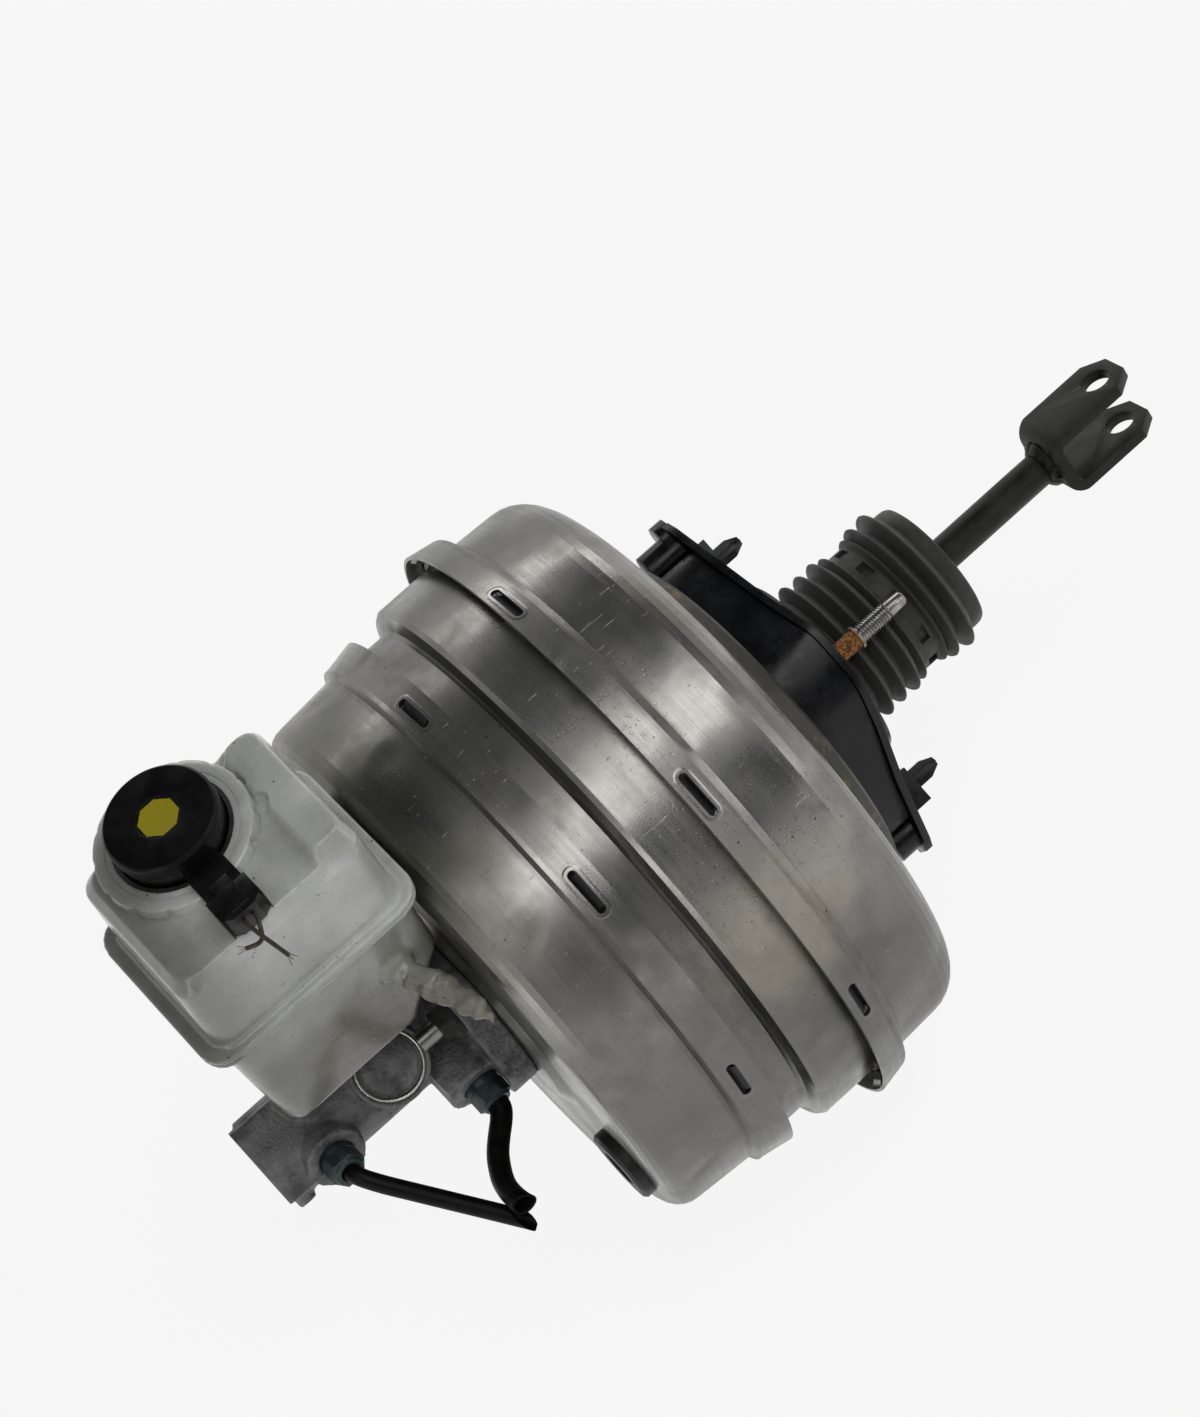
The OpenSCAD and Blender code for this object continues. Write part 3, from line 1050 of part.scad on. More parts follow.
front_shell();
middle_shell();
divider_plate();
rear_shell();
divider_seal();
rear_guide_seal();
mounting_gasket();
spacer_bracket();
mounting_studs();
bellows();
vacuum_grommet();
valve_body();
front_plate();
rear_plate();
front_diaphragm();
rear_diaphragm();
reaction_disc();
output_rod();
rod_retainer();
return_spring();
stop_key();
poppet_valve();
poppet_retainer();
poppet_spring();
rod_spring();
air_filter();
control_plunger();
push_rod();
clevis();
master_cylinder();
flange_o_ring();
flange_studs();
flange_nuts();
bore_circlip();
side_plug();
plug_wire_ring();
flare_nuts();
front_pipe();
rear_pipe();
primary_piston();
primary_cups();
secondary_piston();
secondary_cups();
primary_spring();
secondary_spring();
inlet_grommets();
reservoir_lower();
reservoir_upper();
reservoir_pin();
return_hose();
sensor_head();
sensor_stem();
cap_seal();
sensor_float();
filler_cap();
connector_plug();
sensor_wires();
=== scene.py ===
"""Looks of a tandem vacuum brake booster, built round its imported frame."""

import logging
import math
from dataclasses import dataclass
from enum import Enum
from itertools import repeat
from typing import Any, Callable, Iterable, Union

import bpy
from mathutils import Matrix, Vector


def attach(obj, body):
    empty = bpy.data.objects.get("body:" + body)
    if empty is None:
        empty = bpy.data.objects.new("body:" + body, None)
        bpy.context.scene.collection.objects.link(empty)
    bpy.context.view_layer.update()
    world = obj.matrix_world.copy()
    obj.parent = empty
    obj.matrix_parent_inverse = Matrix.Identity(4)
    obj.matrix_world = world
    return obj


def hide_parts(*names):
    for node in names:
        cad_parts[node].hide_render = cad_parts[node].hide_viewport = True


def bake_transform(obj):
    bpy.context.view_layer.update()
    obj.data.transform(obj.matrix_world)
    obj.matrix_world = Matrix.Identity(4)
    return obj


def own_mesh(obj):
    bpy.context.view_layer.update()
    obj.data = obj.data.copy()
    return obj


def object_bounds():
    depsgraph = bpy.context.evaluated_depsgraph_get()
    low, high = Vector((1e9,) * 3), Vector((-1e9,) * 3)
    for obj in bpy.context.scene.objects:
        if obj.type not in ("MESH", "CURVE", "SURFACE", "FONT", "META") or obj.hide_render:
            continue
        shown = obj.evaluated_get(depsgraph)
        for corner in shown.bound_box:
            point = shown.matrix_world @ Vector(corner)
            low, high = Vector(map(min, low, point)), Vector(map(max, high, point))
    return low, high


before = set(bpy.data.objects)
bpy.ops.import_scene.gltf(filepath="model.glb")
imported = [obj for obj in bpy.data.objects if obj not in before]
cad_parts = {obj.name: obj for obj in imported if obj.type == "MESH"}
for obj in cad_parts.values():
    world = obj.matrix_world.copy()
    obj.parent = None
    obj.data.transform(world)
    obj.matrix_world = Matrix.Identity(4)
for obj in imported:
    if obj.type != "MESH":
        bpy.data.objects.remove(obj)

CAD_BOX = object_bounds()
MM = 0.001
Piece = bpy.types.Object
Pair = tuple[float, float]
Point = tuple[float, float, float]
Colour = tuple[float, float, float]
Term = Union["Link", float]
Shade = Union["Link", Colour]

log = logging.getLogger("booster")


# Shader tools


def operator(operation: str, swapped: bool = False) -> Callable[["Link", Term], "Link"]:
    """A method that adds one Math node, with its terms swapped for a reflected form."""

    def method(self: "Link", other: Term) -> "Link":
        """The result of the operation."""
        return self.bench.maths(operation, *((other, self) if swapped else (self, other)))

    return method


class Link:
    """An output socket on which Python's operators add Math nodes."""

    def __init__(self, bench: "NodeBench", socket: bpy.types.NodeSocket) -> None:
        """Keeps the node bench that it adds to, and its own socket."""
        self.bench = bench
        self.socket = socket

    def __abs__(self) -> "Link":
        """Size without sign."""
        return self.bench.maths("ABSOLUTE", self)

    __add__ = __radd__ = operator("ADD")
    __sub__ = operator("SUBTRACT")
    __rsub__ = operator("SUBTRACT", swapped=True)
    __mul__ = __rmul__ = operator("MULTIPLY")
    __truediv__ = operator("DIVIDE")
    __pow__ = operator("POWER")


class NodeBench:
    """Adds the nodes of one material or world."""

    def __init__(self, owner: bpy.types.Material | bpy.types.World) -> None:
        """Starts with an empty tree."""
        owner.use_nodes = True
        self.tree = owner.node_tree
        self.tree.nodes.clear()

    def node(self, kind: str, settings: dict[str, Any] | None = None, **sockets: Any) -> bpy.types.Node:
        """Adds a node.

        Args:
            kind: the node's type.
            settings: its properties, and a ramp's stops.
            sockets: values or links, by socket name with underscores, or by number after an i.

        Returns:
            The new node.
        """
        made = self.tree.nodes.new(kind)
        for key, value in (settings or {}).items():
            if key == "stops":
                for spare in range(len(value) - 2):
                    made.color_ramp.elements.new(0.5)
                for stop, (place, colour) in zip(made.color_ramp.elements, value):
                    stop.position = place
                    stop.color = (*colour, 1)
            else:
                setattr(made, key, value)
        for key, value in sockets.items():
            numbered = key[0] == "i" and key[1:].isdigit()
            target = made.inputs[int(key[1:]) if numbered else key.replace("_", " ")]
            if isinstance(value, Link):
                self.tree.links.new(value.socket, target)
            else:
                target.default_value = value
        return made

    def out(self, node: bpy.types.Node, socket: int | str = 0) -> Link:
        """One output of a node as a link."""
        return Link(self, node.outputs[socket])

    def maths(self, operation: str, *terms: Term) -> Link:
        """A Math node over one to three terms."""
        sockets = {f"i{place}": term for place, term in enumerate(terms)}
        return self.out(self.node("ShaderNodeMath", {"operation": operation}, **sockets))

    def place(self) -> Link:
        """The object coordinates, in metres in the part's frame."""
        return self.out(self.node("ShaderNodeTexCoord"), "Object")

    def split(self, vector: Link) -> tuple[Link, Link, Link]:
        """The three parts of a vector."""
        node = self.node("ShaderNodeSeparateXYZ", i0=vector)
        return self.out(node, 0), self.out(node, 1), self.out(node, 2)

    def join(self, x: Term, y: Term, z: Term) -> Link:
        """A vector from three parts."""
        return self.out(self.node("ShaderNodeCombineXYZ", i0=x, i1=y, i2=z))

    def stretch(self, vector: Link, scale: Point, turn: Point = (0, 0, 0)) -> Link:
        """A vector turned and scaled along each direction."""
        return self.out(self.node("ShaderNodeMapping", Vector=vector, Scale=scale, Rotation=turn))

    def noise(self, vector: Link, scale: float, detail: float = 3, rough: float = 0.55) -> Link:
        """Soft noise from 0 to 1."""
        return self.out(self.node("ShaderNodeTexNoise", Vector=vector, Scale=scale, Detail=detail,
                                  Roughness=rough))

    def cells(self, vector: Link, scale: float, smooth: bool = False) -> Link:
        """Distance to the nearest of many scattered points."""
        feature = "SMOOTH_F1" if smooth else "F1"
        return self.out(self.node("ShaderNodeTexVoronoi", {"feature": feature}, Vector=vector, Scale=scale))

    def step(self, value: Link, low: float, high: float, start: float, end: float) -> Link:
        """A smooth step from start to end while the value goes from low to high."""
        settings = {"interpolation_type": "SMOOTHSTEP", "clamp": True}
        return self.out(self.node("ShaderNodeMapRange", settings, i0=value, i1=low, i2=high,
                                  i3=start, i4=end))

    def rise(self, value: Link, low: float, high: float) -> Link:
        """A smooth step from 0 to 1."""
        return self.step(value, low, high, 0.0, 1.0)

    def fall(self, value: Link, low: float, high: float) -> Link:
        """A smooth step from 1 to 0."""
        return self.step(value, low, high, 1.0, 0.0)

    def band(self, value: Link, low: float, high: float, soft: float) -> Link:
        """1 between two values, with soft edges."""
        return self.rise(value, low - soft, low + soft) * self.fall(value, high - soft, high + soft)

    def blend(self, factor: Term, one: Shade, two: Shade, how: str = "MIX") -> Link:
        """Two colours mixed by a factor."""
        first = one if isinstance(one, Link) else (*one, 1)
        second = two if isinstance(two, Link) else (*two, 1)
        settings = {"data_type": "RGBA", "blend_type": how}
        return self.out(self.node("ShaderNodeMix", settings, i0=factor, i6=first, i7=second), 2)

    def bump(self, height: Link, depth: float, below: Link | None = None) -> Link:
        """A relief of a given depth in metres, over another relief if there is one."""
        more = {} if below is None else {"Normal": below}
        return self.out(self.node("ShaderNodeBump", None, Strength=1.0, Distance=depth,
                                  Height=height, **more))


@dataclass
class Look:
    """What a finish works on while its nodes are built."""

    bench: NodeBench
    at: Link
    colour: Link
    rough: Link
    normal: Link
    metal: Term

    def noise(self, scale: float, detail: float = 3, rough: float = 0.55) -> Link:
        """Soft noise over the piece."""
        return self.bench.noise(self.at, scale, detail, rough)

    def streaks(self, scale: Point, turn: Point = (0, 0, 0), detail: float = 3, rough: float = 0.55) -> Link:
        """Noise drawn out along one direction."""
        return self.bench.noise(self.bench.stretch(self.at, scale, turn), 1.0, detail, rough)

    def patches(self, low: float, high: float, scale: float, detail: float = 3, rough: float = 0.55) -> Link:
        """1 in the patches where noise passes a threshold."""
        return self.bench.rise(self.noise(scale, detail, rough), low, high)

    def dots(self, scale: float, low: float, high: float, smooth: bool = False) -> Link:
        """1 in scattered dots."""
        return self.bench.fall(self.bench.cells(self.at, scale, smooth), low, high)

    def paint(self, mask: Link, colour: Shade) -> None:
        """Lays a colour over the piece where the mask is."""
        self.colour = self.bench.blend(mask, self.colour, colour)

    def emboss(self, height: Link, depth: float) -> None:
        """Adds a relief of a depth in metres."""
        self.normal = self.bench.bump(height, depth, self.normal)


@dataclass(frozen=True)
class Finish:
    """A surface with mottling, grain, specks and grime."""

    slot: str
    colour: Colour
    tint: Colour
    metallic: float = 0.0
    rough: Pair = (0.4, 0.6)
    mottle: float = 45.0
    grain: float = 1200.0
    relief: float = 0.00004
    wave: float = 0.0
    wave_scale: float = 60.0
    grime: Colour = (0.03, 0.025, 0.02)
    grime_share: float = 0.0
    specks: float = 0.0
    coat: float = 0.0
    coat_rough: float = 0.2
    under: float = 0.0
    under_depth: float = 0.004
    sheen: float = 0.0
    specular: float = 0.5

    def material(self, title: str) -> bpy.types.Material:
        """A new material with this finish."""
        made = bpy.data.materials.new(title)
        bench = NodeBench(made)
        look = self.base(bench)
        self.marks(bench, look)
        shader = bench.node(
            "ShaderNodeBsdfPrincipled", Base_Color=look.colour, Roughness=look.rough, Normal=look.normal,
            Metallic=look.metal, Coat_Weight=self.coat, Coat_Roughness=self.coat_rough,
            Subsurface_Weight=self.under, Subsurface_Scale=self.under_depth, Sheen_Weight=self.sheen,
            Subsurface_Radius=(1.0, 0.95, 0.85), Specular_IOR_Level=self.specular,
        )
        bench.node("ShaderNodeOutputMaterial", Surface=bench.out(shader))
        return made

    def base(self, bench: NodeBench) -> Look:
        """The layers that every finish has."""
        at = bench.place()
        cloud = bench.rise(bench.noise(at, self.mottle, 5, 0.6), 0.35, 0.68)
        fine = bench.noise(at, self.grain, 2, 0.6)
        rough = cloud * (self.rough[1] - self.rough[0]) + self.rough[0] + (fine - 0.5) * 0.08
        look = Look(bench, at, bench.blend(cloud, self.colour, self.tint), rough,
                    bench.bump(fine, self.relief),
                    self.metallic)
        if self.wave:
            look.emboss(look.noise(self.wave_scale, 2, 0.5), self.wave)
        if self.grime_share:
            dirt = look.patches(0.66 - self.grime_share * 0.3, 0.72, self.mottle * 0.7, 7, 0.7)
            look.paint(dirt * 0.85, self.grime)
            look.rough = look.rough + dirt * 0.2
        if self.specks:
            look.paint(look.dots(420, 0.10, 0.16) * look.patches(0.62 - self.specks * 0.2, 0.68, 70, 2),
                       self.grime)
        return look

    def marks(self, bench: NodeBench, look: Look) -> None:
        """The marks of one finish alone, added to its look."""


@dataclass(frozen=True)
class PressedSheet(Finish):
    """Bright pressed sheet with draw lines, dents, scratches and grime in its grooves, with painted shade and painted
    warm glints.
    """

    slot_turn: float = 36.0
    slot_count: int = 8
    slot_half: float = 0.0078
    slot_rim: Pair = (0.0015, 0.0034)
    slot_stations: Pair = (-0.1433, -0.0919)
    groove: Pair = (-0.1352, -0.1195)
    steps: tuple[Pair, Pair] = ((-0.1535, -0.1488), (-0.0875, -0.0800))
    front_x: Pair = (-0.172, -0.150)
    front_y: Pair = (-0.085, -0.03)
    hub_r: Pair = (0.092, 0.128)
    hub_x: Pair = (-0.078, -0.064)
    scratched: tuple[tuple[Point, Point, float], ...] = (
        ((40, 900, 900), (0.2, 0.5, 0.3), 0.75), ((900, 60, 900), (0.7, 0.1, 0.6), 0.76),
        ((120, 1500, 120), (0.1, 0.9, 1.1), 0.76),
    )

    def slot_rims(self, bench: NodeBench, x: Link, y: Link, z: Link, radius: Link) -> tuple[Link, Link]:
        """1 on the raised rims that lancing leaves round the slots, and 1 inside the slots."""
        step = math.pi / self.slot_count
        turn = bench.maths("ARCTAN2", z, y) - math.radians(self.slot_turn)
        along = abs(bench.maths("WRAP", turn, step, -step) * radius) - self.slot_half
        past = bench.maths("MAXIMUM", along, 0.0)
        across = bench.maths("MINIMUM", abs(x - self.slot_stations[0]), abs(x - self.slot_stations[1]))
        reach = (past * past + across * across) ** 0.5
        inside = bench.fall(reach, self.slot_rim[0] + 0.0002, self.slot_rim[0] + 0.0006)
        return bench.band(reach, self.slot_rim[0], self.slot_rim[1], 0.0005), inside

    def flecks(self, bench: NodeBench, look: Look) -> tuple[Link, Link]:
        """Scaly worn flecks in patches, as their insides and their dark outlines."""
        reach = bench.cells(look.at, 380) + (look.noise(520, 3) - 0.5) * 0.5
        patch = look.patches(0.46, 0.62, 19, 4, 0.65)
        return bench.fall(reach, 0.1, 0.24) * patch, bench.band(reach, 0.2, 0.3, 0.04) * patch

    def scratches(self, bench: NodeBench, look: Look) -> Link:
        """Fine scratches in three directions."""
        total = 0.0
        for scale, turn, share in self.scratched:
            total = bench.rise(look.streaks(scale, turn, 1), share, share + 0.04) + total
        return total

    def marks(self, bench: NodeBench, look: Look) -> None:
        """Adds what pressing and years in a car leave, with painted shade on the lower, far and front sides and in
        the slots, and painted warm glints.
        """
        x, y, z = bench.split(look.at)
        radius = (y * y + z * z) ** 0.5
        lines = bench.noise(bench.join(x * 700, radius * 700, y / radius * 2.0), 1.0, 2, 0.5)
        dents = look.dots(34, 0.0, 0.42, True) * look.patches(0.5, 0.62, 23, 1)
        inside, outline = self.flecks(bench, look)
        scratches = self.scratches(bench, look)
        rims, slots = self.slot_rims(bench, x, y, z, radius)
        look.emboss(lines, 0.00003)
        look.emboss(dents, -0.0007)
        look.emboss(inside, -0.00003)
        look.emboss(scratches, -0.00012)
        look.emboss(rims, 0.00014)
        worn = look.patches(0.42, 0.62, 9, 4, 0.6)
        look.rough = look.rough + (lines - 0.5) * 0.12 + worn * 0.10 - rims * 0.05
        look.paint(scratches * 0.4, (0.70, 0.69, 0.66))
        look.paint(bench.rise(lines, 0.3, 0.7) * 0.25, (0.24, 0.235, 0.22))
        look.paint(worn * 0.3, (0.38, 0.37, 0.335))
        look.paint(inside * 0.22, (0.62, 0.60, 0.56))
        look.paint(outline * 0.45, (0.12, 0.11, 0.09))
        # Painted shade, a painted dark reflection: the lower and far sides of the shells are darkened.
        lower_far_shade = (bench.fall(z + (worn - 0.5) * 0.02, 0.0, 0.10)
                + bench.rise(y + (worn - 0.5) * 0.02, -0.02, 0.06))
        look.paint(bench.maths("MINIMUM", lower_far_shade, 1.0) * 0.74, (0.095, 0.094, 0.085))
        # Painted shade: the near side of the front shell's front is darkened.
        front = bench.fall(x, *self.front_x) * bench.rise(y, *self.front_y)
        look.paint(front * 0.6, (0.085, 0.086, 0.06))
        # Painted highlight: small warm patches stand in for warm glints.
        look.paint(look.patches(0.57, 0.68, 14, 2) * 0.2, (0.50, 0.42, 0.30))
        self.grime_shade_and_glints(bench, look, x, radius)
        pits = look.dots(130, 0.04, 0.075) * look.patches(0.46, 0.56, 16, 3, 0.6)
        look.paint(pits * 0.85, (0.04, 0.036, 0.03))
        # Painted shade: the slot openings, and whatever shows through them, are painted black.
        look.paint(slots, (0.004, 0.004, 0.004))
        look.rough = look.rough + slots * 0.4
        look.metal = 1.0 - slots

    def grime_shade_and_glints(self, bench: NodeBench, look: Look, x: Link, radius: Link) -> None:
        """Adds grime in the grooves and at the steps, painted shade with grime round the bracket, and painted warm
        glints there.
        """
        streaky = look.streaks((90, 35, 35), detail=6, rough=0.7)
        groove = bench.band(x, *self.groove, 0.0015) * bench.fall(radius, 0.1235, 0.1315)
        step = bench.band(x, *self.steps[0], 0.001) + bench.band(x, *self.steps[1], 0.0012)
        # Round the bracket the darkening is painted shade, a painted dark reflection, laid on with the grime.
        shaded_hub = bench.fall(radius, *self.hub_r) * bench.rise(x, *self.hub_x)
        dirt = groove * 0.5 + step * 0.5 + shaded_hub * 1.5 + 0.06
        dirt = bench.rise(dirt * (0.35 + streaky), 0.3, 0.85)
        look.paint(dirt * 0.8, (0.035, 0.034, 0.028))
        # Painted highlight: warm glints round the bracket.
        painted_glint = shaded_hub * bench.rise(look.streaks((60, 60, 110), detail=5, rough=0.65), 0.56, 0.72)
        look.paint(painted_glint * 0.4, (0.34, 0.22, 0.09))
        look.rough = look.rough + dirt * 0.14


@dataclass(frozen=True)
class TankPlastic(Finish):
    """Translucent moulded plastic, bluish at the top, with yellowish painted shade and grime low down and painted
    shade at the front.
    """

    yellow_z: Pair = (0.076, 0.14)
    front_x: Pair = (-0.272, -0.245)

    def marks(self, bench: NodeBench, look: Look) -> None:
        """Adds yellowish painted shade and grime by height, painted shade at the front, dust and specks."""
        x, y, z = bench.split(look.at)
        # Painted shade: darker and yellower towards the bottom.
        low = bench.fall(z + (look.noise(24, 4, 0.6) - 0.5) * 0.05, *self.yellow_z)
        look.paint(low * 0.9, (0.120, 0.113, 0.078))
        # Painted shade: darker at the front end.
        front = bench.fall(x + (look.noise(30, 3) - 0.5) * 0.02, *self.front_x)
        look.paint(front * 0.75, (0.13, 0.13, 0.10))
        look.paint(look.patches(0.42, 0.66, 17, 4, 0.6) * 0.45, (0.36, 0.37, 0.335))
        smear = look.streaks((40, 40, 14), detail=7, rough=0.7)
        dirt = bench.rise(smear, 0.5, 0.74) * (0.22 + low * 0.6)
        look.paint(dirt, (0.10, 0.092, 0.062))
        look.paint(look.patches(0.6, 0.72, 260, 5, 0.75) * 0.35, (0.20, 0.19, 0.15))
        look.paint(look.dots(170, 0.05, 0.085) * look.patches(0.46, 0.52, 40, 2), (0.03, 0.027, 0.02))
        wipes = bench.rise(look.streaks((260, 30, 60), (0.3, 0.2, 0.9)), 0.62, 0.7)
        look.emboss(wipes, 0.00008)
        look.rough = look.rough + dirt * 0.2 - wipes * 0.08


@dataclass(frozen=True)
class StudSteel(Finish):
    """Zinc plated stud that has rusted where it leaves its seat."""

    rust_end: float = 0.0085

    def marks(self, bench: NodeBench, look: Look) -> None:
        """Adds rust at the foot."""
        x, y, z = bench.split(look.at)
        edge = x + (look.noise(420, 4, 0.7) - 0.5) * 0.006
        rust = bench.fall(edge, self.rust_end - 0.001, self.rust_end + 0.0006)
        flakes = look.noise(640, 5, 0.75)
        rusty = bench.blend(bench.rise(flakes, 0.44, 0.56), (0.50, 0.20, 0.035), (0.075, 0.030, 0.014))
        look.paint(rust, rusty)
        look.rough = look.rough + rust * 0.45
        look.metal = 1.0 - rust * 0.95
        look.emboss(flakes * rust, 0.0006)


@dataclass(frozen=True)
class CapPlastic(Finish):
    """Black moulded cap with a plain painted disc in its middle."""

    centre: Pair = (-0.239, 0.0175)
    disc_r: float = 0.0076

    def marks(self, bench: NodeBench, look: Look) -> None:
        """Adds the plain disc with its worn edge, and rub marks."""
        x, y, z = bench.split(look.at)
        across = x - self.centre[0]
        along = y - self.centre[1]
        cut = bench.maths("MAXIMUM", abs(across), abs(along))
        corner = (abs(across) + abs(along)) * 0.7071
        octagon = bench.maths("MAXIMUM", cut, corner)
        wear = (look.noise(900, 4, 0.7) - 0.5) * 0.0007
        disc = bench.fall(octagon + wear, self.disc_r - 0.0003, self.disc_r)
        disc = disc * bench.rise(z, 0.176, 0.1765)
        look.paint(disc * 0.9, (0.40, 0.34, 0.02))
        rub = look.streaks((300, 1500, 300), (0, 0, 0.6), 2)
        rub = bench.rise(rub, 0.62, 0.72) * look.patches(0.45, 0.6, 90, 2)
        look.paint(rub * 0.12, (0.14, 0.14, 0.14))
        look.rough = look.rough + rub * 0.15


@dataclass(frozen=True)
class MottledSteel(Finish):
    """Phosphated steel with mottling, rubbed edges lightened by a painted highlight, and a few stains."""

    def marks(self, bench: NodeBench, look: Look) -> None:
        """Adds rubbed edges with a painted highlight, from the mesh's own corners, and stains."""
        sharp = bench.out(bench.node("ShaderNodeNewGeometry"), "Pointiness")
        # Painted highlight: the mesh's sharp edges are lightened, together with rubbing.
        worn = bench.rise(sharp + (look.noise(500, 3) - 0.5) * 0.06, 0.64, 0.74)
        look.paint(worn * 0.5, (0.30, 0.30, 0.27))
        look.rough = look.rough - worn * 0.12
        look.paint(look.patches(0.6, 0.72, 150, 4, 0.65) * 0.5, (0.06, 0.048, 0.03))


@dataclass(frozen=True)
class RubbedBlack(Finish):
    """Black paint or plastic, polished, with scuffs and a painted grey highlight at its edges."""

    edge_highlight_and_scuff: Colour = (0.16, 0.17, 0.18)

    def marks(self, bench: NodeBench, look: Look) -> None:
        """Adds scuffs with a painted highlight along edges, and dust."""
        sharp = bench.out(bench.node("ShaderNodeNewGeometry"), "Pointiness")
        # Painted highlight: the mesh's sharp edges are lightened, together with scuffs.
        worn = bench.rise(sharp + (look.noise(400, 3) - 0.5) * 0.08, 0.64, 0.76)
        look.paint(worn * 0.35, self.edge_highlight_and_scuff)
        dust = look.patches(0.55, 0.75, 160, 6, 0.7)
        look.paint(dust * 0.2, (0.03, 0.028, 0.024))
        look.rough = look.rough + dust * 0.2


@dataclass(frozen=True)
class RibbedRubber(Finish):
    """Matte rubber, its folds darkened towards the axis as painted shade, with dust."""

    def marks(self, bench: NodeBench, look: Look) -> None:
        """Adds painted shade in the folds by distance from the axis, and dust."""
        x, y, z = bench.split(look.at)
        radius = (y * y + z * z) ** 0.5
        crest = bench.rise(radius + (look.noise(200, 4) - 0.5) * 0.003, 0.0268, 0.0328)
        # Painted shade: the folds go near black, while the crests keep the rubber's colour.
        look.colour = bench.blend(crest * 0.9 + 0.05, (0.010, 0.0095, 0.008), look.colour)
        look.paint(look.patches(0.5, 0.75, 120, 6, 0.7) * 0.4, (0.075, 0.073, 0.062))


class Looks(Enum):
    """Every finish on the unit."""

    SHEET = PressedSheet("pressed_steel", (0.33, 0.324, 0.305), (0.19, 0.187, 0.17), 1.0, (0.24, 0.37), 26,
                         grain=1600, relief=0.00002, wave=0.0008, wave_scale=22)
    PLATED = Finish("plated_steel", (0.55, 0.54, 0.50), (0.40, 0.38, 0.33), 1.0, (0.28, 0.42))
    STUD = StudSteel("plated_steel", (0.38, 0.375, 0.36), (0.24, 0.235, 0.22), 1.0, (0.22, 0.36), 300)
    BRIGHT_WIRE = Finish("spring_steel", (0.62, 0.61, 0.58), (0.42, 0.40, 0.37), 1.0, (0.18, 0.3))
    SPRING = Finish("spring_steel", (0.20, 0.20, 0.20), (0.30, 0.29, 0.28), 1.0, (0.3, 0.45))
    ZINC = Finish("dark_zinc", (0.018, 0.033, 0.039), (0.040, 0.060, 0.065), 0.3, (0.35, 0.5), 180, grime_share=0.3)
    PHOSPHATE = MottledSteel("phosphate_steel", (0.010, 0.010, 0.0085), (0.028, 0.027, 0.022), 0.1, (0.4, 0.56), 90,
                             grain=1400, relief=0.00005, grime_share=0.2, specular=0.22)
    PIPE = RubbedBlack("pipe_black", (0.003, 0.003, 0.0032), (0.007, 0.007, 0.0065), 0.0, (0.34, 0.5), 160,
                       edge_highlight_and_scuff=(0.03, 0.031, 0.033), specular=0.12)
    CAST = Finish("cast_aluminium", (0.14, 0.14, 0.143), (0.24, 0.24, 0.243), 0.25, (0.42, 0.6), 70, grain=620,
                  relief=0.0006, wave=0.0007, wave_scale=150, grime=(0.016, 0.015, 0.014), grime_share=0.7,
                  specular=0.45)
    BRIGHT_CAST = Finish("bright_aluminium", (0.55, 0.55, 0.54), (0.42, 0.42, 0.41), 0.9, (0.3, 0.45), 80)
    BLACK = RubbedBlack("black_plastic", (0.003, 0.0033, 0.0042), (0.006, 0.0066, 0.008), 0.0, (0.22, 0.36), 90,
                        grain=1500, relief=0.00003, wave=0.0003, wave_scale=70, specular=0.34)
    MOULDED = RubbedBlack("black_plastic", (0.003, 0.003, 0.003), (0.006, 0.006, 0.006), 0.0, (0.26, 0.4), 200,
                          specular=0.3)
    CAP = CapPlastic("black_plastic", (0.0035, 0.0035, 0.0036), (0.006, 0.006, 0.006), 0.0, (0.28, 0.4), 120,
                     grain=1300, relief=0.00003, specular=0.14)
    VALVE = Finish("valve_plastic", (0.05, 0.045, 0.04), (0.08, 0.07, 0.06))
    TANK = TankPlastic("tank_plastic", (0.68, 0.69, 0.665), (0.55, 0.56, 0.53), 0.0, (0.2, 0.34), 50, grain=900,
                       relief=0.00005, wave=0.001, wave_scale=38, grime=(0.02, 0.02, 0.02), specks=0.5, coat=0.4,
                       coat_rough=0.12, under=0.35, under_depth=0.006)
    FOAM = Finish("float_foam", (0.6, 0.58, 0.5), (0.5, 0.48, 0.4), rough=(0.7, 0.85))
    RUBBER = Finish("black_rubber", (0.012, 0.012, 0.012), (0.024, 0.023, 0.022), 0.0, (0.45, 0.65), 150,
                    grime_share=0.1)
    BELLOWS = RibbedRubber("bellows_rubber", (0.044, 0.045, 0.039), (0.028, 0.028, 0.024), 0.0, (0.55, 0.72), 90,
                           grain=900, relief=0.00005, sheen=0.15)
    HOSE = TankPlastic("hose_rubber", (0.70, 0.72, 0.66), (0.50, 0.50, 0.43), 0.0, (0.35, 0.55), 160, grain=700,
                       relief=0.0003, wave=0.0014, wave_scale=190, grime=(0.03, 0.03, 0.03), specks=0.3, under=0.5,
                       under_depth=0.006)
    PAPER = Finish("gasket_paper", (0.30, 0.25, 0.12), (0.20, 0.16, 0.08), 0.0, (0.8, 0.9), 200)
    FELT = Finish("filter_felt", (0.10, 0.10, 0.09), (0.07, 0.07, 0.06), 0.0, (0.9, 1.0), 300)
    SLEEVE = Finish("wire_sleeve", (0.055, 0.047, 0.030), (0.028, 0.022, 0.013), 0.0, (0.5, 0.65), 500)
    COPPER = Finish("wire_sleeve", (0.30, 0.22, 0.12), (0.16, 0.12, 0.07), 0.7, (0.4, 0.6), 900)

    def material(self) -> bpy.types.Material:
        """The finish's material, made once and then shared."""
        title = f"{self.name.lower()}_finish"
        return bpy.data.materials.get(title) or self.value.material(title)


# Modelling tools


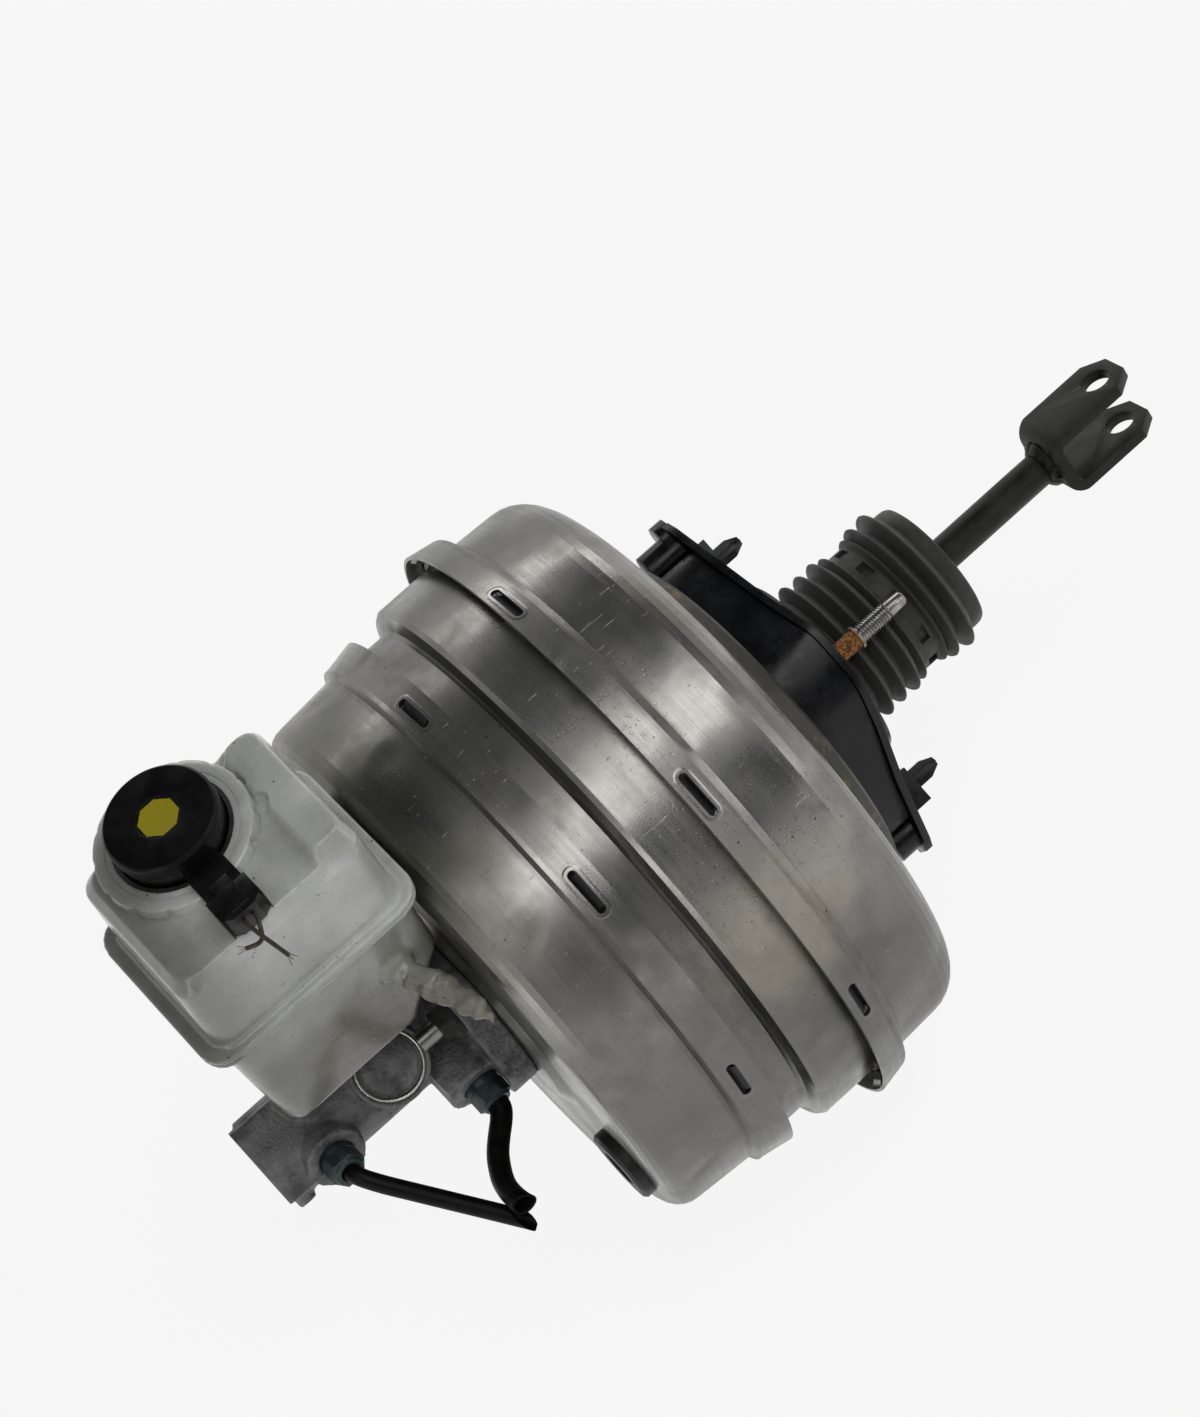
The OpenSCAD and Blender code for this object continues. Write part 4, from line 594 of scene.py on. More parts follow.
def rest() -> None:
    """Leaves edit mode and deselects everything."""
    if bpy.context.object and bpy.context.object.mode != "OBJECT":
        bpy.ops.object.mode_set(mode="OBJECT")
    bpy.ops.object.select_all(action="DESELECT")


def hold(piece: Piece) -> None:
    """Makes one piece the only selected and active one."""
    rest()
    piece.select_set(True)
    bpy.context.view_layer.objects.active = piece


def open_mesh(piece: Piece) -> None:
    """Opens a piece in edit mode with all of it selected."""
    hold(piece)
    bpy.ops.object.mode_set(mode="EDIT")
    bpy.ops.mesh.select_all(action="SELECT")


def merge_close(reach: float = 1e-6) -> None:
    """Merges the points of the open mesh that lie within a reach in metres."""
    bpy.ops.mesh.select_all(action="SELECT")
    bpy.ops.mesh.remove_doubles(threshold=reach)


def named(name: str) -> Piece:
    """Names the new active object and its mesh."""
    made = bpy.context.object
    made.name = name
    made.data.name = name
    return made


def chain(name: str, points: list[Point], loop: bool = False) -> Piece:
    """One vertex extruded through a list of points.

    Args:
        name: its name.
        points: the places that it goes through, in millimetres.
        loop: True to come back to the first point.

    Returns:
        The line, left in edit mode and selected.
    """
    rest()
    bpy.ops.mesh.primitive_plane_add(size=MM, enter_editmode=True)
    made = named(name)
    bpy.ops.mesh.merge(type="CENTER")
    line = [Vector(point) * MM for point in points]
    bpy.ops.transform.translate(value=line[0])
    for one, two in zip(line, line[1:] + line[:1] if loop else line[1:]):
        bpy.ops.mesh.extrude_region_move(TRANSFORM_OT_translate={"value": two - one})
    merge_close()
    return made


def lathe(name: str, profile: list[Pair], steps: int = 96, start: float = 0.0, loop: bool = True) -> Piece:
    """A profile spun about the X axis.

    Args:
        name: its name.
        profile: its outline as (radius, station) points in millimetres.
        steps: number of steps in the turn.
        start: angle of the first step from Z, in degrees.
        loop: True for a closed profile.

    Returns:
        The turned piece.
    """
    turn = math.radians(start)
    made = chain(name, [(x, -r * math.sin(turn), r * math.cos(turn)) for r, x in profile], loop)
    bpy.ops.mesh.spin(steps=steps, angle=2 * math.pi, center=(0, 0, 0), axis=(1, 0, 0))
    merge_close()
    bpy.ops.mesh.normals_make_consistent(inside=False)
    rest()
    return made


def tube(name: str, route: list[Point], radius: float, sides: int = 4,
         swell: Iterable[float] = repeat(1.0)) -> Piece:
    """A round tube along a smooth route, made a mesh.

    Args:
        name: its name.
        route: the points of its centre line, in millimetres.
        radius: its radius in millimetres.
        sides: bevel resolution.
        swell: how thick it is at each point, as a share of the radius.

    Returns:
        The tube.
    """
    rest()
    bpy.ops.curve.primitive_nurbs_path_add()
    made = named(name)
    made.data.splines.clear()
    line = made.data.splines.new("NURBS")
    line.points.add(len(route) - 1)
    for point, place, share in zip(line.points, route, swell):
        point.co = (*(Vector(place) * MM), 1)
        point.radius = share
    line.order_u = 3
    line.use_endpoint_u = True
    line.resolution_u = 6
    made.data.dimensions = "3D"
    made.data.bevel_depth = radius * MM
    made.data.bevel_resolution = sides
    made.data.use_fill_caps = True
    hold(made)
    bpy.ops.object.convert(target="MESH")
    return named(name)


def apply_modifier(piece: Piece, kind: str, **settings: Any) -> None:
    """Adds a modifier with its settings and applies it."""
    hold(piece)
    added = piece.modifiers.new(kind.lower(), kind)
    for key, value in settings.items():
        setattr(added, key, value)
    bpy.ops.object.modifier_apply(modifier=added.name)


def smooth(piece: Piece, degrees: float = 32.0) -> None:
    """Smooth shading, with sharper corners kept."""
    hold(piece)
    bpy.ops.object.shade_smooth_by_angle(angle=math.radians(degrees))


def settle(piece: Piece, place: Matrix) -> None:
    """Puts a piece in its place, and the place into its mesh."""
    hold(piece)
    piece.matrix_world = place
    bpy.ops.object.transform_apply(location=True, rotation=True, scale=True)


def resized(piece: Piece, centre: Point, scale: Point) -> Piece:
    """The same piece scaled about a point in millimetres."""
    middle = Vector(centre) * MM
    settle(piece, Matrix.Translation(middle) @ Matrix.Diagonal((*scale, 1)) @ Matrix.Translation(-middle))
    return piece


def rippled(piece: Piece, beyond: float, share: Callable[[float, float], float]) -> None:
    """Scales the radius of a turned piece.

    Args:
        piece: the piece, round about the X axis.
        beyond: radius in millimetres up to which it keeps its form.
        share: gives the scale from the turn in radians and the station in millimetres.
    """
    for vertex in piece.data.vertices:
        if math.hypot(vertex.co.y, vertex.co.z) > beyond * MM:
            scale = share(math.atan2(vertex.co.y, vertex.co.z), vertex.co.x / MM)
            vertex.co.y *= scale
            vertex.co.z *= scale


def joined(name: str, *pieces: Piece) -> Piece:
    """Several pieces made one."""
    rest()
    for piece in pieces:
        piece.select_set(True)
    bpy.context.view_layer.objects.active = pieces[0]
    bpy.ops.object.join()
    return named(name)


def from_node(node: str, name: str, flat: float = 1.0) -> Piece:
    """A merged copy of a node's solid, with its flat faces made whole.

    Args:
        node: the node's name.
        name: the copy's name.
        flat: the angle in degrees under which faces count as one.

    Returns:
        The copy, with nothing on it.
    """
    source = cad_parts[node]
    hidden = source.hide_viewport
    source.hide_viewport = False
    hold(source)
    bpy.ops.object.duplicate(linked=False)
    made = named(name)
    source.hide_viewport = hidden
    made.parent = None
    for key in list(made.keys()):
        del made[key]
    made.data.materials.clear()
    open_mesh(made)
    merge_close(2e-6)
    if flat:
        bpy.ops.mesh.dissolve_limited(angle_limit=math.radians(flat))
    bpy.ops.mesh.customdata_custom_splitnormals_clear()
    rest()
    return made


def dressed(piece: Piece, look: Looks, body: str, *nodes: str) -> Piece:
    """Gives a finished piece its material, its body and the nodes that it stands for.

    Args:
        piece: the finished piece.
        look: its finish.
        body: the body that it rides on.
        nodes: what it replaces.

    Returns:
        The same piece.
    """
    piece.data.materials.clear()
    piece.data.materials.append(look.material())
    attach(piece, body)
    if nodes:
        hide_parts(*nodes)
    log.info("%s rides on %s with finish %s, for %s", piece.name, body, look.name,
             ", ".join(nodes) or "nothing")
    return piece


def rounded(piece: Piece, width: float, segments: int, look: Looks, body: str, node: str,
            degrees: float = 30.0) -> None:
    """Dresses a machined or moulded piece with its edges rounded.

    Args:
        piece: the piece.
        width: width of the rounding in millimetres.
        segments: number of faces across it.
        look: its finish.
        body: the body that it rides on.
        node: the node that it replaces.
        degrees: the corners sharper than this are rounded.
    """
    apply_modifier(piece, "BEVEL", width=width * MM, segments=segments, limit_method="ANGLE",
                   angle_limit=math.radians(degrees), miter_outer="MITER_ARC", use_clamp_overlap=True)
    smooth(piece)
    dressed(piece, look, body, node)


def cast(piece: Piece, cell: float, passes: int, look: Looks, node: str) -> None:
    """Dresses a cast or blown piece with soft corners all over.

    Args:
        piece: the closed solid.
        cell: size of the remeshed cells in millimetres.
        passes: how often it is smoothed.
        look: its finish.
        node: the node that it replaces.
    """
    apply_modifier(piece, "REMESH", mode="VOXEL", voxel_size=cell * MM)
    apply_modifier(piece, "SMOOTH", factor=0.5, iterations=passes)
    smooth(piece, 60)
    dressed(piece, look, "housing", node)


def flexed(node: str, look: Looks, still: str, moving: str, start: float, end: float) -> None:
    """A smooth copy of a spring or diaphragm, in place of its node.

    Args:
        node: the node that it replaces.
        look: its finish.
        still: the body of its front end; not used.
        moving: the body of its rear end; not used.
        start: station in millimetres up to which it would stay on the first; not used.
        end: station from which it would follow the second; not used.
    """
    piece = from_node(node, f"{node}_flexing", 0)
    smooth(piece, 40)
    piece.data.materials.append(look.material())
    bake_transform(piece)
    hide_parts(node)


def painted(look: Looks, *nodes: str) -> None:
    """Gives nodes that are kept as they are their finish."""
    for name in nodes:
        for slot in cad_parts[name].material_slots:
            slot.material = look.material()
        log.info("node %s kept with finish %s", name, look.name)


# Studio


@dataclass
class Studio:
    """Camera, lamps, floor and surroundings."""

    eye: Point = (-0.2945, -0.8555, 1.27375)
    right: Point = (0.73967, -0.60151, -0.30179)
    down: Point = (-0.65836, -0.55382, -0.50975)
    ahead: Point = (0.13948, 0.57573, -0.80565)
    focal: float = 4000 * 36 / 1417
    floor_drop: float = 0.0006
    middle: Point = (-0.09, 0.0, 0.0)
    lamps: tuple[tuple[str, Point, Pair, float], ...] = (
        ("overhead", (0.06, -0.42, 1.25), (1.4, 0.5), 5.2),
        ("left_strip", (-1.15, -0.55, 0.75), (0.2, 1.3), 2.4),
        ("right_fill", (0.95, -0.75, 0.85), (0.6, 0.6), 2.0),
        ("back_strip", (0.35, 1.15, 0.6), (1.2, 0.2), 2.6),
    )

    def camera(self) -> None:
        """Places the camera of the reference view."""
        rest()
        bpy.ops.object.camera_add()
        camera = bpy.context.object
        camera.name = "reference_camera"
        axes = [Vector(self.right), -Vector(self.down), -Vector(self.ahead)]
        camera.matrix_world = Matrix([[*axis, 0] for axis in axes] + [[*self.eye, 1]]).transposed()
        camera.data.sensor_width = 36
        camera.data.lens = self.focal
        camera.data.clip_start = 0.05
        camera.data.clip_end = 50
        bpy.context.scene.camera = camera

    def light(self) -> None:
        """Adds the soft lamps, each turned to the middle of the unit."""
        for name, place, size, power in self.lamps:
            rest()
            bpy.ops.object.light_add(type="AREA", location=place)
            lamp = bpy.context.object
            lamp.name = name
            lamp.data.shape = "RECTANGLE"
            lamp.data.size, lamp.data.size_y = size
            lamp.data.energy = power
            aim = Vector(self.middle) - Vector(place)
            lamp.rotation_euler = aim.to_track_quat("-Z", "Y").to_euler()

    def seen(self, bench: NodeBench) -> Link:
        """1 for rays from the camera and for those that gloss or glass sends on."""
        path = bench.node("ShaderNodeLightPath")
        camera, gloss, glass = (bench.out(path, f"Is {kind} Ray")
                                for kind in ("Camera", "Glossy", "Transmission"))
        return bench.maths("MINIMUM", camera + gloss + glass, 1.0)

    def surroundings(self) -> None:
        """A pale studio dome, white at the horizon and greyer overhead."""
        world = bpy.data.worlds.new("studio_dome")
        bpy.context.scene.world = world
        bench = NodeBench(world)
        x, y, z = bench.split(bench.out(bench.node("ShaderNodeTexCoord"), "Generated"))
        dome = bench.blend(bench.rise(z, 0.06, 0.6), (1, 1, 1), (0.085, 0.088, 0.095))
        back = bench.node("ShaderNodeBackground", Color=dome, Strength=self.seen(bench) * 0.45 + 0.55)
        bench.node("ShaderNodeOutputWorld", Surface=bench.out(back))

    def floor(self) -> None:
        """A pale floor that keeps the unit's soft shadow."""
        rest()
        bpy.ops.mesh.primitive_circle_add(vertices=96, radius=6, fill_type="NGON", enter_editmode=True,
                                          location=(0, 0, CAD_BOX[0].z - self.floor_drop))
        bpy.ops.mesh.inset(thickness=2.0)
        ground = named("floor")
        settle(ground, ground.matrix_world.copy())
        made = bpy.data.materials.new("pale_floor")
        bench = NodeBench(made)
        cloud = bench.noise(bench.place(), 3.0, 3)
        colour = bench.blend(cloud, (0.86, 0.86, 0.86), (0.90, 0.90, 0.90))
        matte = bench.out(bench.node("ShaderNodeBsdfDiffuse", Color=colour))
        glow = bench.out(bench.node("ShaderNodeEmission", Color=(1, 1, 1, 1), Strength=1.0))
        mixed = bench.node("ShaderNodeMixShader", i0=self.seen(bench) * 0.88, i1=matte, i2=glow)
        bench.node("ShaderNodeOutputMaterial", Surface=bench.out(mixed))
        ground.data.materials.append(made)

    def build(self) -> None:
        """Sets up the camera, the surroundings, the lamps and the floor."""
        self.camera()
        self.surroundings()
        self.light()
        self.floor()


# The unit


@dataclass
class ShellStack:
    """The three pressed shells with the gasket and grommet on them."""

    def build(self) -> None:
        """Dresses the shells."""
        painted(Looks.SHEET, "front_shell", "middle_shell", "rear_shell")
        painted(Looks.PHOSPHATE, "divider_plate")
        painted(Looks.PAPER, "mounting_gasket")
        painted(Looks.RUBBER, "divider_seal", "rear_guide_seal", "vacuum_grommet")


@dataclass
class Boot:
    """The ribbed bellows with its collar of breathing windows."""

    rubber_t: float = 1.3
    steps: int = 120
    squashed_share: float = 0.5
    window_pitch: float = 36.0
    window_half: float = 7.5
    window_x: Pair = (29.0, 33.4)
    foot: tuple[Pair, ...] = ((30.6, -4.0), (30.6, -0.4), (29.6, 1.0), (27.8, 1.8), (27.6, 2.8))
    folds: tuple[tuple[float, ...], ...] = (
        (6.0, 32.7, 0.95, 9.6), (13.2, 32.2, 0.9, 16.8), (20.4, 32.4, 0.9, 23.0), (25.2, 31.0, 0.7),
        (36.4, 30.8, 0.7, 38.2), (40.8, 32.7, 0.9, 44.4), (48.2, 33.4, 1.0),
    )
    mouth: tuple[Pair, ...] = (
        (29.4, 50.6), (28.7, 51.6), (29.0, 52.6), (29.0, 54.6), (28.8, 56.6), (28.2, 57.8), (27.0, 58.3),
        (24.0, 58.4), (14.0, 58.4), (12.6, 58.2), (12.4, 57.6),
    )
    neck: tuple[Pair, ...] = (
        (7.15, 59.2), (7.15, 61.2), (8.6, 61.2), (9.4, 60.6), (15.0, 60.3), (16.2, 59.9), (16.0, 59.4),
    )

    def outline(self) -> list[Pair]:
        """The outside of the rubber as (radius, station) points in millimetres."""
        low, high = self.window_x
        collar = [(28.8, 26.8), (28.6, 27.4), (28.6, low), (28.6, high), (28.6, 34.6), (28.9, 35.3)]
        points = list(self.foot)
        for x, r, half, *valley in self.folds:
            lead = 1.6 if half > 0.8 else 0.6
            points += [(28.8, x - lead - 1.1), (r - 1.3, x - half), (r - 0.35, x - half * 0.72), (r, x),
                       (r - 0.35, x + half * 0.72), (r - 1.3, x + half)]
            if valley:
                points += [(28.8, x + lead + 0.8), (27.7, valley[0])]
            elif x < low:
                points += collar
        return points + list(self.mouth)

    def windows(self, boot: Piece) -> None:
        """Opens the windows in the collar."""
        open_mesh(boot)
        bpy.ops.mesh.select_mode(type="FACE")
        bpy.ops.mesh.select_all(action="DESELECT")
        bpy.ops.object.mode_set(mode="OBJECT")
        for face in boot.data.polygons:
            x, y, z = face.center / MM
            turn = math.degrees(math.atan2(-y, z)) % self.window_pitch
            in_turn = min(turn, self.window_pitch - turn) < self.window_half
            face.select = in_turn and self.window_x[0] < x < self.window_x[1]
        bpy.ops.object.mode_set(mode="EDIT")
        bpy.ops.mesh.delete(type="FACE")
        bpy.ops.mesh.select_mode(type="VERT")
        rest()

    def build(self) -> None:
        """Spins the outline, opens the windows, thickens the wall and adds the neck on the rod."""
        boot = lathe("bellows_boot", self.outline(), self.steps, 1.5, False)
        self.windows(boot)
        apply_modifier(boot, "SOLIDIFY", thickness=self.rubber_t * MM, offset=-1)
        smooth(boot, 50)
        low, high = self.window_x
        lining = lathe("bellows_lining", [(26.4, low - 3), (26.9, low - 1), (26.9, high + 1), (26.4, high + 3),
                                          (25.6, high + 3), (25.6, low - 3)], self.steps)
        smooth(lining)
        whole = dressed(joined("bellows_boot", boot, lining), Looks.BELLOWS, "housing", "bellows")
        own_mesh(whole)
        neck = lathe("bellows_neck", list(self.neck), 64)
        smooth(neck, 50)
        dressed(neck, Looks.BELLOWS, "pedal_rod")


@dataclass
class Bulkhead:
    """The spacer bracket with the two mounting studs."""

    pattern_turn: float = 36.0
    stud_ring: float = 38.0
    pitch: float = 1.25
    thread_x: Pair = (8.6, 23.0)
    crest_r: float = 4.0
    root_r: float = 3.35
    core: tuple[Pair, ...] = (
        (0.02, -36.4), (8.0, -36.4), (8.0, -33.6), (4.0, -33.4), (4.0, 6.8), (4.0, 7.4), (4.9, 7.6), (5.0, 7.9),
        (5.0, 8.6), (4.8, 8.9), (3.5, 9.0), (3.3, 9.4), (3.3, 22.9), (3.9, 23.3), (3.2, 24.0), (3.15, 30.9),
        (2.6, 31.9), (2.4, 32.0), (0.02, 32.0),
    )

    def thread(self) -> Piece:
        """One turn of the thread's flank, screwed up along the stud."""
        x, end = self.thread_x
        low, high = self.root_r, self.crest_r
        made = chain("stud_thread", [(x, 0, low), (x + 0.15, 0, low), (x + 0.55, 0, high), (x + 0.7, 0, high),
                                     (x + 1.1, 0, low), (x + self.pitch, 0, low)])
        rest()
        apply_modifier(made, "SCREW", axis="X", steps=28, render_steps=28,
                       iterations=int((end - x) / self.pitch),
                       screw_offset=self.pitch * MM, use_merge_vertices=True, merge_threshold=1e-6)
        smooth(made, 40)
        return made

    def build(self) -> None:
        """Rounds the bracket, turns and threads a stud, and sets a pair of them."""
        rounded(from_node("spacer_bracket", "bracket_body"), 0.7, 3, Looks.BLACK, "housing", "spacer_bracket")
        core = lathe("stud_core", list(self.core), 48)
        smooth(core, 35)
        first = joined("mounting_stud", core, self.thread())
        hold(first)
        bpy.ops.object.duplicate(linked=False)
        pair = (first, bpy.context.object)
        for stud, side in zip(pair, (-1, 1)):
            lift = Matrix.Translation((0, 0, side * self.stud_ring * MM))
            settle(stud, Matrix.Rotation(math.radians(self.pattern_turn), 4, "X") @ lift)
        dressed(joined("threaded_studs", *pair), Looks.STUD, "housing", "mounting_studs")


@dataclass
class PedalRod:
    """The push rod with its clevis and the weld between them."""

    clevis_x: float = 118.5
    pin_x: float = 153.9
    pin_reach: float = 5.6
    fork_turn: float = -20.0
    widening: float = 0.36
    hole_widening: float = 0.2

    def widen(self, fork: Piece) -> None:
        """Makes the ears as wide as forged ones, and the pin hole a little larger."""
        across = Vector((0, math.cos(math.radians(self.fork_turn)), math.sin(math.radians(self.fork_turn))))
        for vertex in fork.data.vertices:
            wide = vertex.co.dot(across)
            past = vertex.co.x - self.pin_x * MM
            if math.hypot(past, wide) < self.pin_reach * MM:
                vertex.co += across * wide * self.hole_widening
                vertex.co.x += past * self.hole_widening
            elif vertex.co.x > (self.clevis_x - 0.1) * MM and abs(wide) > 4 * MM:
                vertex.co += across * wide * self.widening

    def build(self) -> None:
        """Rounds the clevis and the rod, and lays the lumpy bead of weld between them."""
        fork = from_node("clevis", "clevis_fork")
        self.widen(fork)
        rounded(fork, 0.45, 2, Looks.PHOSPHATE, "pedal_rod", "clevis")
        rounded(from_node("push_rod", "rod_shank"), 0.3, 2, Looks.PHOSPHATE, "pedal_rod", "push_rod", 40)
        x = self.clevis_x
        bead = lathe("weld_bead", [(7.0, x - 3.2), (7.6, x - 3.3), (8.8, x - 2.4), (10.0, x - 1.1), (10.6, x + 0.2),
                                   (7.0, x + 0.2)], 64)
        rippled(bead, 7.3, lambda turn, x: 1 + 0.035 * math.sin(9 * turn) + 0.02 * math.sin(17 * turn + 1))
        smooth(bead, 60)
        dressed(bead, Looks.PHOSPHATE, "pedal_rod")


@dataclass(frozen=True)
class CutPipe:
    """A brake pipe, pinched and cut off, from a port given as (station, turn, height of the seat)."""

    node: str
    port: Point
    radius: float
    pinch: Pair
    lean: Point
    route: tuple[Point, ...]
    wall: float = 1.0
    pinched_l: float = 9.0
    cut_l: float = 4.5
    open_l: float = 6.0

    def on_port(self, reach: float) -> Point:
        """A point on the port's line, a reach in millimetres beyond its seat."""
        x, turn, height = self.port
        along = math.radians(turn)
        return x, (height + reach) * math.cos(along), (height + reach) * math.sin(along)

    def squeeze(self, pipe: Piece, end: Vector, along: Vector) -> None:
        """Flattens the last stretch of the pipe, as cutters do."""
        thin = along.cross(Vector((0, 0, 1))).normalized().cross(along)
        wide = along.cross(thin)
        for vertex in pipe.data.vertices:
            off = vertex.co - end
            share = 1 - max(-off.dot(along), 0) / (self.pinched_l * MM)
            if share > 0:
                share = share * share * (3 - 2 * share)
                vertex.co += thin * off.dot(thin) * (self.pinch[0] - 1) * share
                vertex.co += wide * off.dot(wide) * (self.pinch[1] - 1) * share

    def cut(self, pipe: Piece, end: Vector, along: Vector) -> None:
        """Cuts the pipe's end on a slant and hollows it."""
        slant = (along + Vector(self.lean)).normalized()
        open_mesh(pipe)
        bpy.ops.mesh.bisect(plane_co=end - along * self.cut_l * MM, plane_no=slant,
                            use_fill=True, clear_outer=True)
        bpy.ops.mesh.select_mode(type="FACE")
        bpy.ops.mesh.inset(thickness=self.wall * MM)
        bpy.ops.mesh.extrude_region_move(TRANSFORM_OT_translate={"value": -along * self.open_l * MM})
        bpy.ops.mesh.select_mode(type="VERT")
        rest()

    def build(self) -> None:
        """Bends the pipe, pinches it and cuts it open."""
        points = [self.on_port(reach) for reach in (-3, 5, 12)] + list(self.route)
        pipe = tube(f"{self.node}_bent", points, self.radius, 6)
        before, end = (Vector(point) * MM for point in points[-2:])
        along = (end - before).normalized()
        self.squeeze(pipe, end, along)
        self.cut(pipe, end, along)
        smooth(pipe, 40)
        dressed(pipe, Looks.PIPE, "housing", self.node)


@dataclass
class Cylinder:
    """The master cylinder casting with its nuts, plug and cut pipes."""

    pipes: tuple[CutPipe, ...] = (
        CutPipe("front_pipe", (-269.0, 168.0, 24.0), 3.6, (0.75, 1.05), (0.15, 0.25, 1.0), (
            (-264, -43, 3.2), (-256, -53.4, -2.3), (-246, -66.4, -9.2), (-238, -76.8, -14.7), (-229.6, -87.8, -20.5),
        )),
        CutPipe("rear_pipe", (-210.0, 195.0, 34.0), 4.4, (0.5, 1.2), (-0.5, -0.9, 1.3), (
            (-213.6, -48.5, -13), (-218, -52.5, -13.2), (-223.2, -58, -13.2), (-226.4, -63.5, -13),
            (-228.8, -69, -12), (-230, -75, -10.4), (-230, -82, -7.6), (-229.2, -91.5, -3.6),
        )),
    )

    def build(self) -> None:
        """Softens the casting, rounds the nuts and plug, and bends the pipes."""
        cast(from_node("master_cylinder", "cylinder_casting", 0), 0.9, 1, Looks.CAST, "master_cylinder")
        rounded(from_node("flare_nuts", "pipe_nuts"), 0.35, 2, Looks.ZINC, "housing", "flare_nuts")
        rounded(from_node("flange_nuts", "collar_nuts"), 0.35, 2, Looks.PHOSPHATE, "housing", "flange_nuts")
        rounded(from_node("side_plug", "plug_disc"), 0.35, 2, Looks.CAST, "housing", "side_plug")
        painted(Looks.SPRING, "flange_studs", "bore_circlip")
        painted(Looks.BRIGHT_WIRE, "plug_wire_ring")
        painted(Looks.RUBBER, "flange_o_ring", "inlet_grommets")
        for pipe in self.pipes:
            pipe.build()


@dataclass
class Reservoir:
    """The two tank halves with the pin and the torn hose."""

    neck: Point = (-239.0, 17.5, 162.0)
    lobe_count: int = 14
    filling_box: tuple[Point, Point] = ((-207.4, 10.5, 157.0), (-200.5, 25.5, 166.9))
    hose_route: tuple[Point, ...] = (
        (-208.4, -38.8, 88.6), (-207.2, -41.5, 88.2), (-205.8, -45, 87.6), (-204.6, -48, 87.2), (-203.4, -51, 86.8),
        (-202.2, -54.4, 86.4), (-201.0, -58, 85.8), (-200.0, -61.5, 85.2), (-199.2, -65, 84.8), (-198.5, -68.5, 84.4),
        (-198.0, -73, 84.0), (-197.6, -78, 83.8),
    )
    hose_r: float = 5.9
    hose_z: float = 86.8
    tear_y: float = 62.0
    tear_l: float = 14.0
    hose_swell: tuple[float, ...] = (0.78, 0.92, 0.80, 0.94, 1.04, 0.98, 0.78, 0.72, 0.86, 0.66, 0.36, 0.06)

    def dip(self, turn: float, height: float) -> float:
        """What the notches between the lobes leave of the collar's radius."""
        deep = 0.06 if height < 1 else 0.016
        return 1 - deep * max(0.0, math.cos(self.lobe_count * turn)) ** 6

    def collar(self) -> None:
        """The raised collar round the neck, with a lobe between each pair of notches."""
        collar = lathe("lobed_collar", [(31.2, 0.2), (31.4, 0.9), (30.4, 4.4), (29.6, 5.0), (26.6, 5.15), (25.8, 5.1),
                                        (25.8, -3.0), (17.5, -24.0), (19.0, -25.0), (29.0, -7.0), (31.0, -1.0)], 140)
        rippled(collar, 27, self.dip)
        smooth(collar, 35)
        settle(collar, Matrix.Translation(Vector(self.neck) * MM)
               @ Matrix.Rotation(math.radians(-90), 4, "Y"))
        dressed(collar, Looks.TANK, "housing")

    def filling(self) -> Piece:
        """A block that thickens the thin corner of the raised lobe from inside."""
        rest()
        low, high = (Vector(corner) * MM for corner in self.filling_box)
        bpy.ops.mesh.primitive_cube_add(size=1, location=(low + high) / 2, scale=high - low)
        block = named("lobe_filling")
        settle(block, block.matrix_world.copy())
        return block

    def hose(self) -> None:
        """The pale hose, lumpy where it was clamped and torn to a point."""
        hose = tube("torn_hose", list(self.hose_route), self.hose_r, 6, self.hose_swell)
        for vertex in hose.data.vertices:
            torn = max(0.0, (-vertex.co.y / MM - self.tear_y) / self.tear_l)
            vertex.co.z += (self.hose_z * MM - vertex.co.z) * 0.55 * min(torn, 1.0)
            along, around = vertex.co.y / MM, math.atan2(vertex.co.z / MM - 86.5, vertex.co.x / MM + 202)
            vertex.co.x += 0.8 * MM * math.sin(along * 0.9) * min(1.0, torn + 0.4)
            vertex.co.z += 0.5 * MM * math.sin(along * 0.7 + 2 * around) * math.sin(3 * around + along * 0.35)
        cast(hose, 0.55, 1, Looks.HOSE, "return_hose")

    def build(self) -> None:
        """Softens the moulded halves and the hose."""
        cast(from_node("reservoir_lower", "tank_lower", 0), 1.1, 6, Looks.TANK, "reservoir_lower")
        upper = joined("tank_upper", from_node("reservoir_upper", "tank_upper", 0), self.filling())
        cast(upper, 1.0, 3, Looks.TANK, "reservoir_upper")
        self.collar()
        self.hose()
        painted(Looks.PLATED, "reservoir_pin")


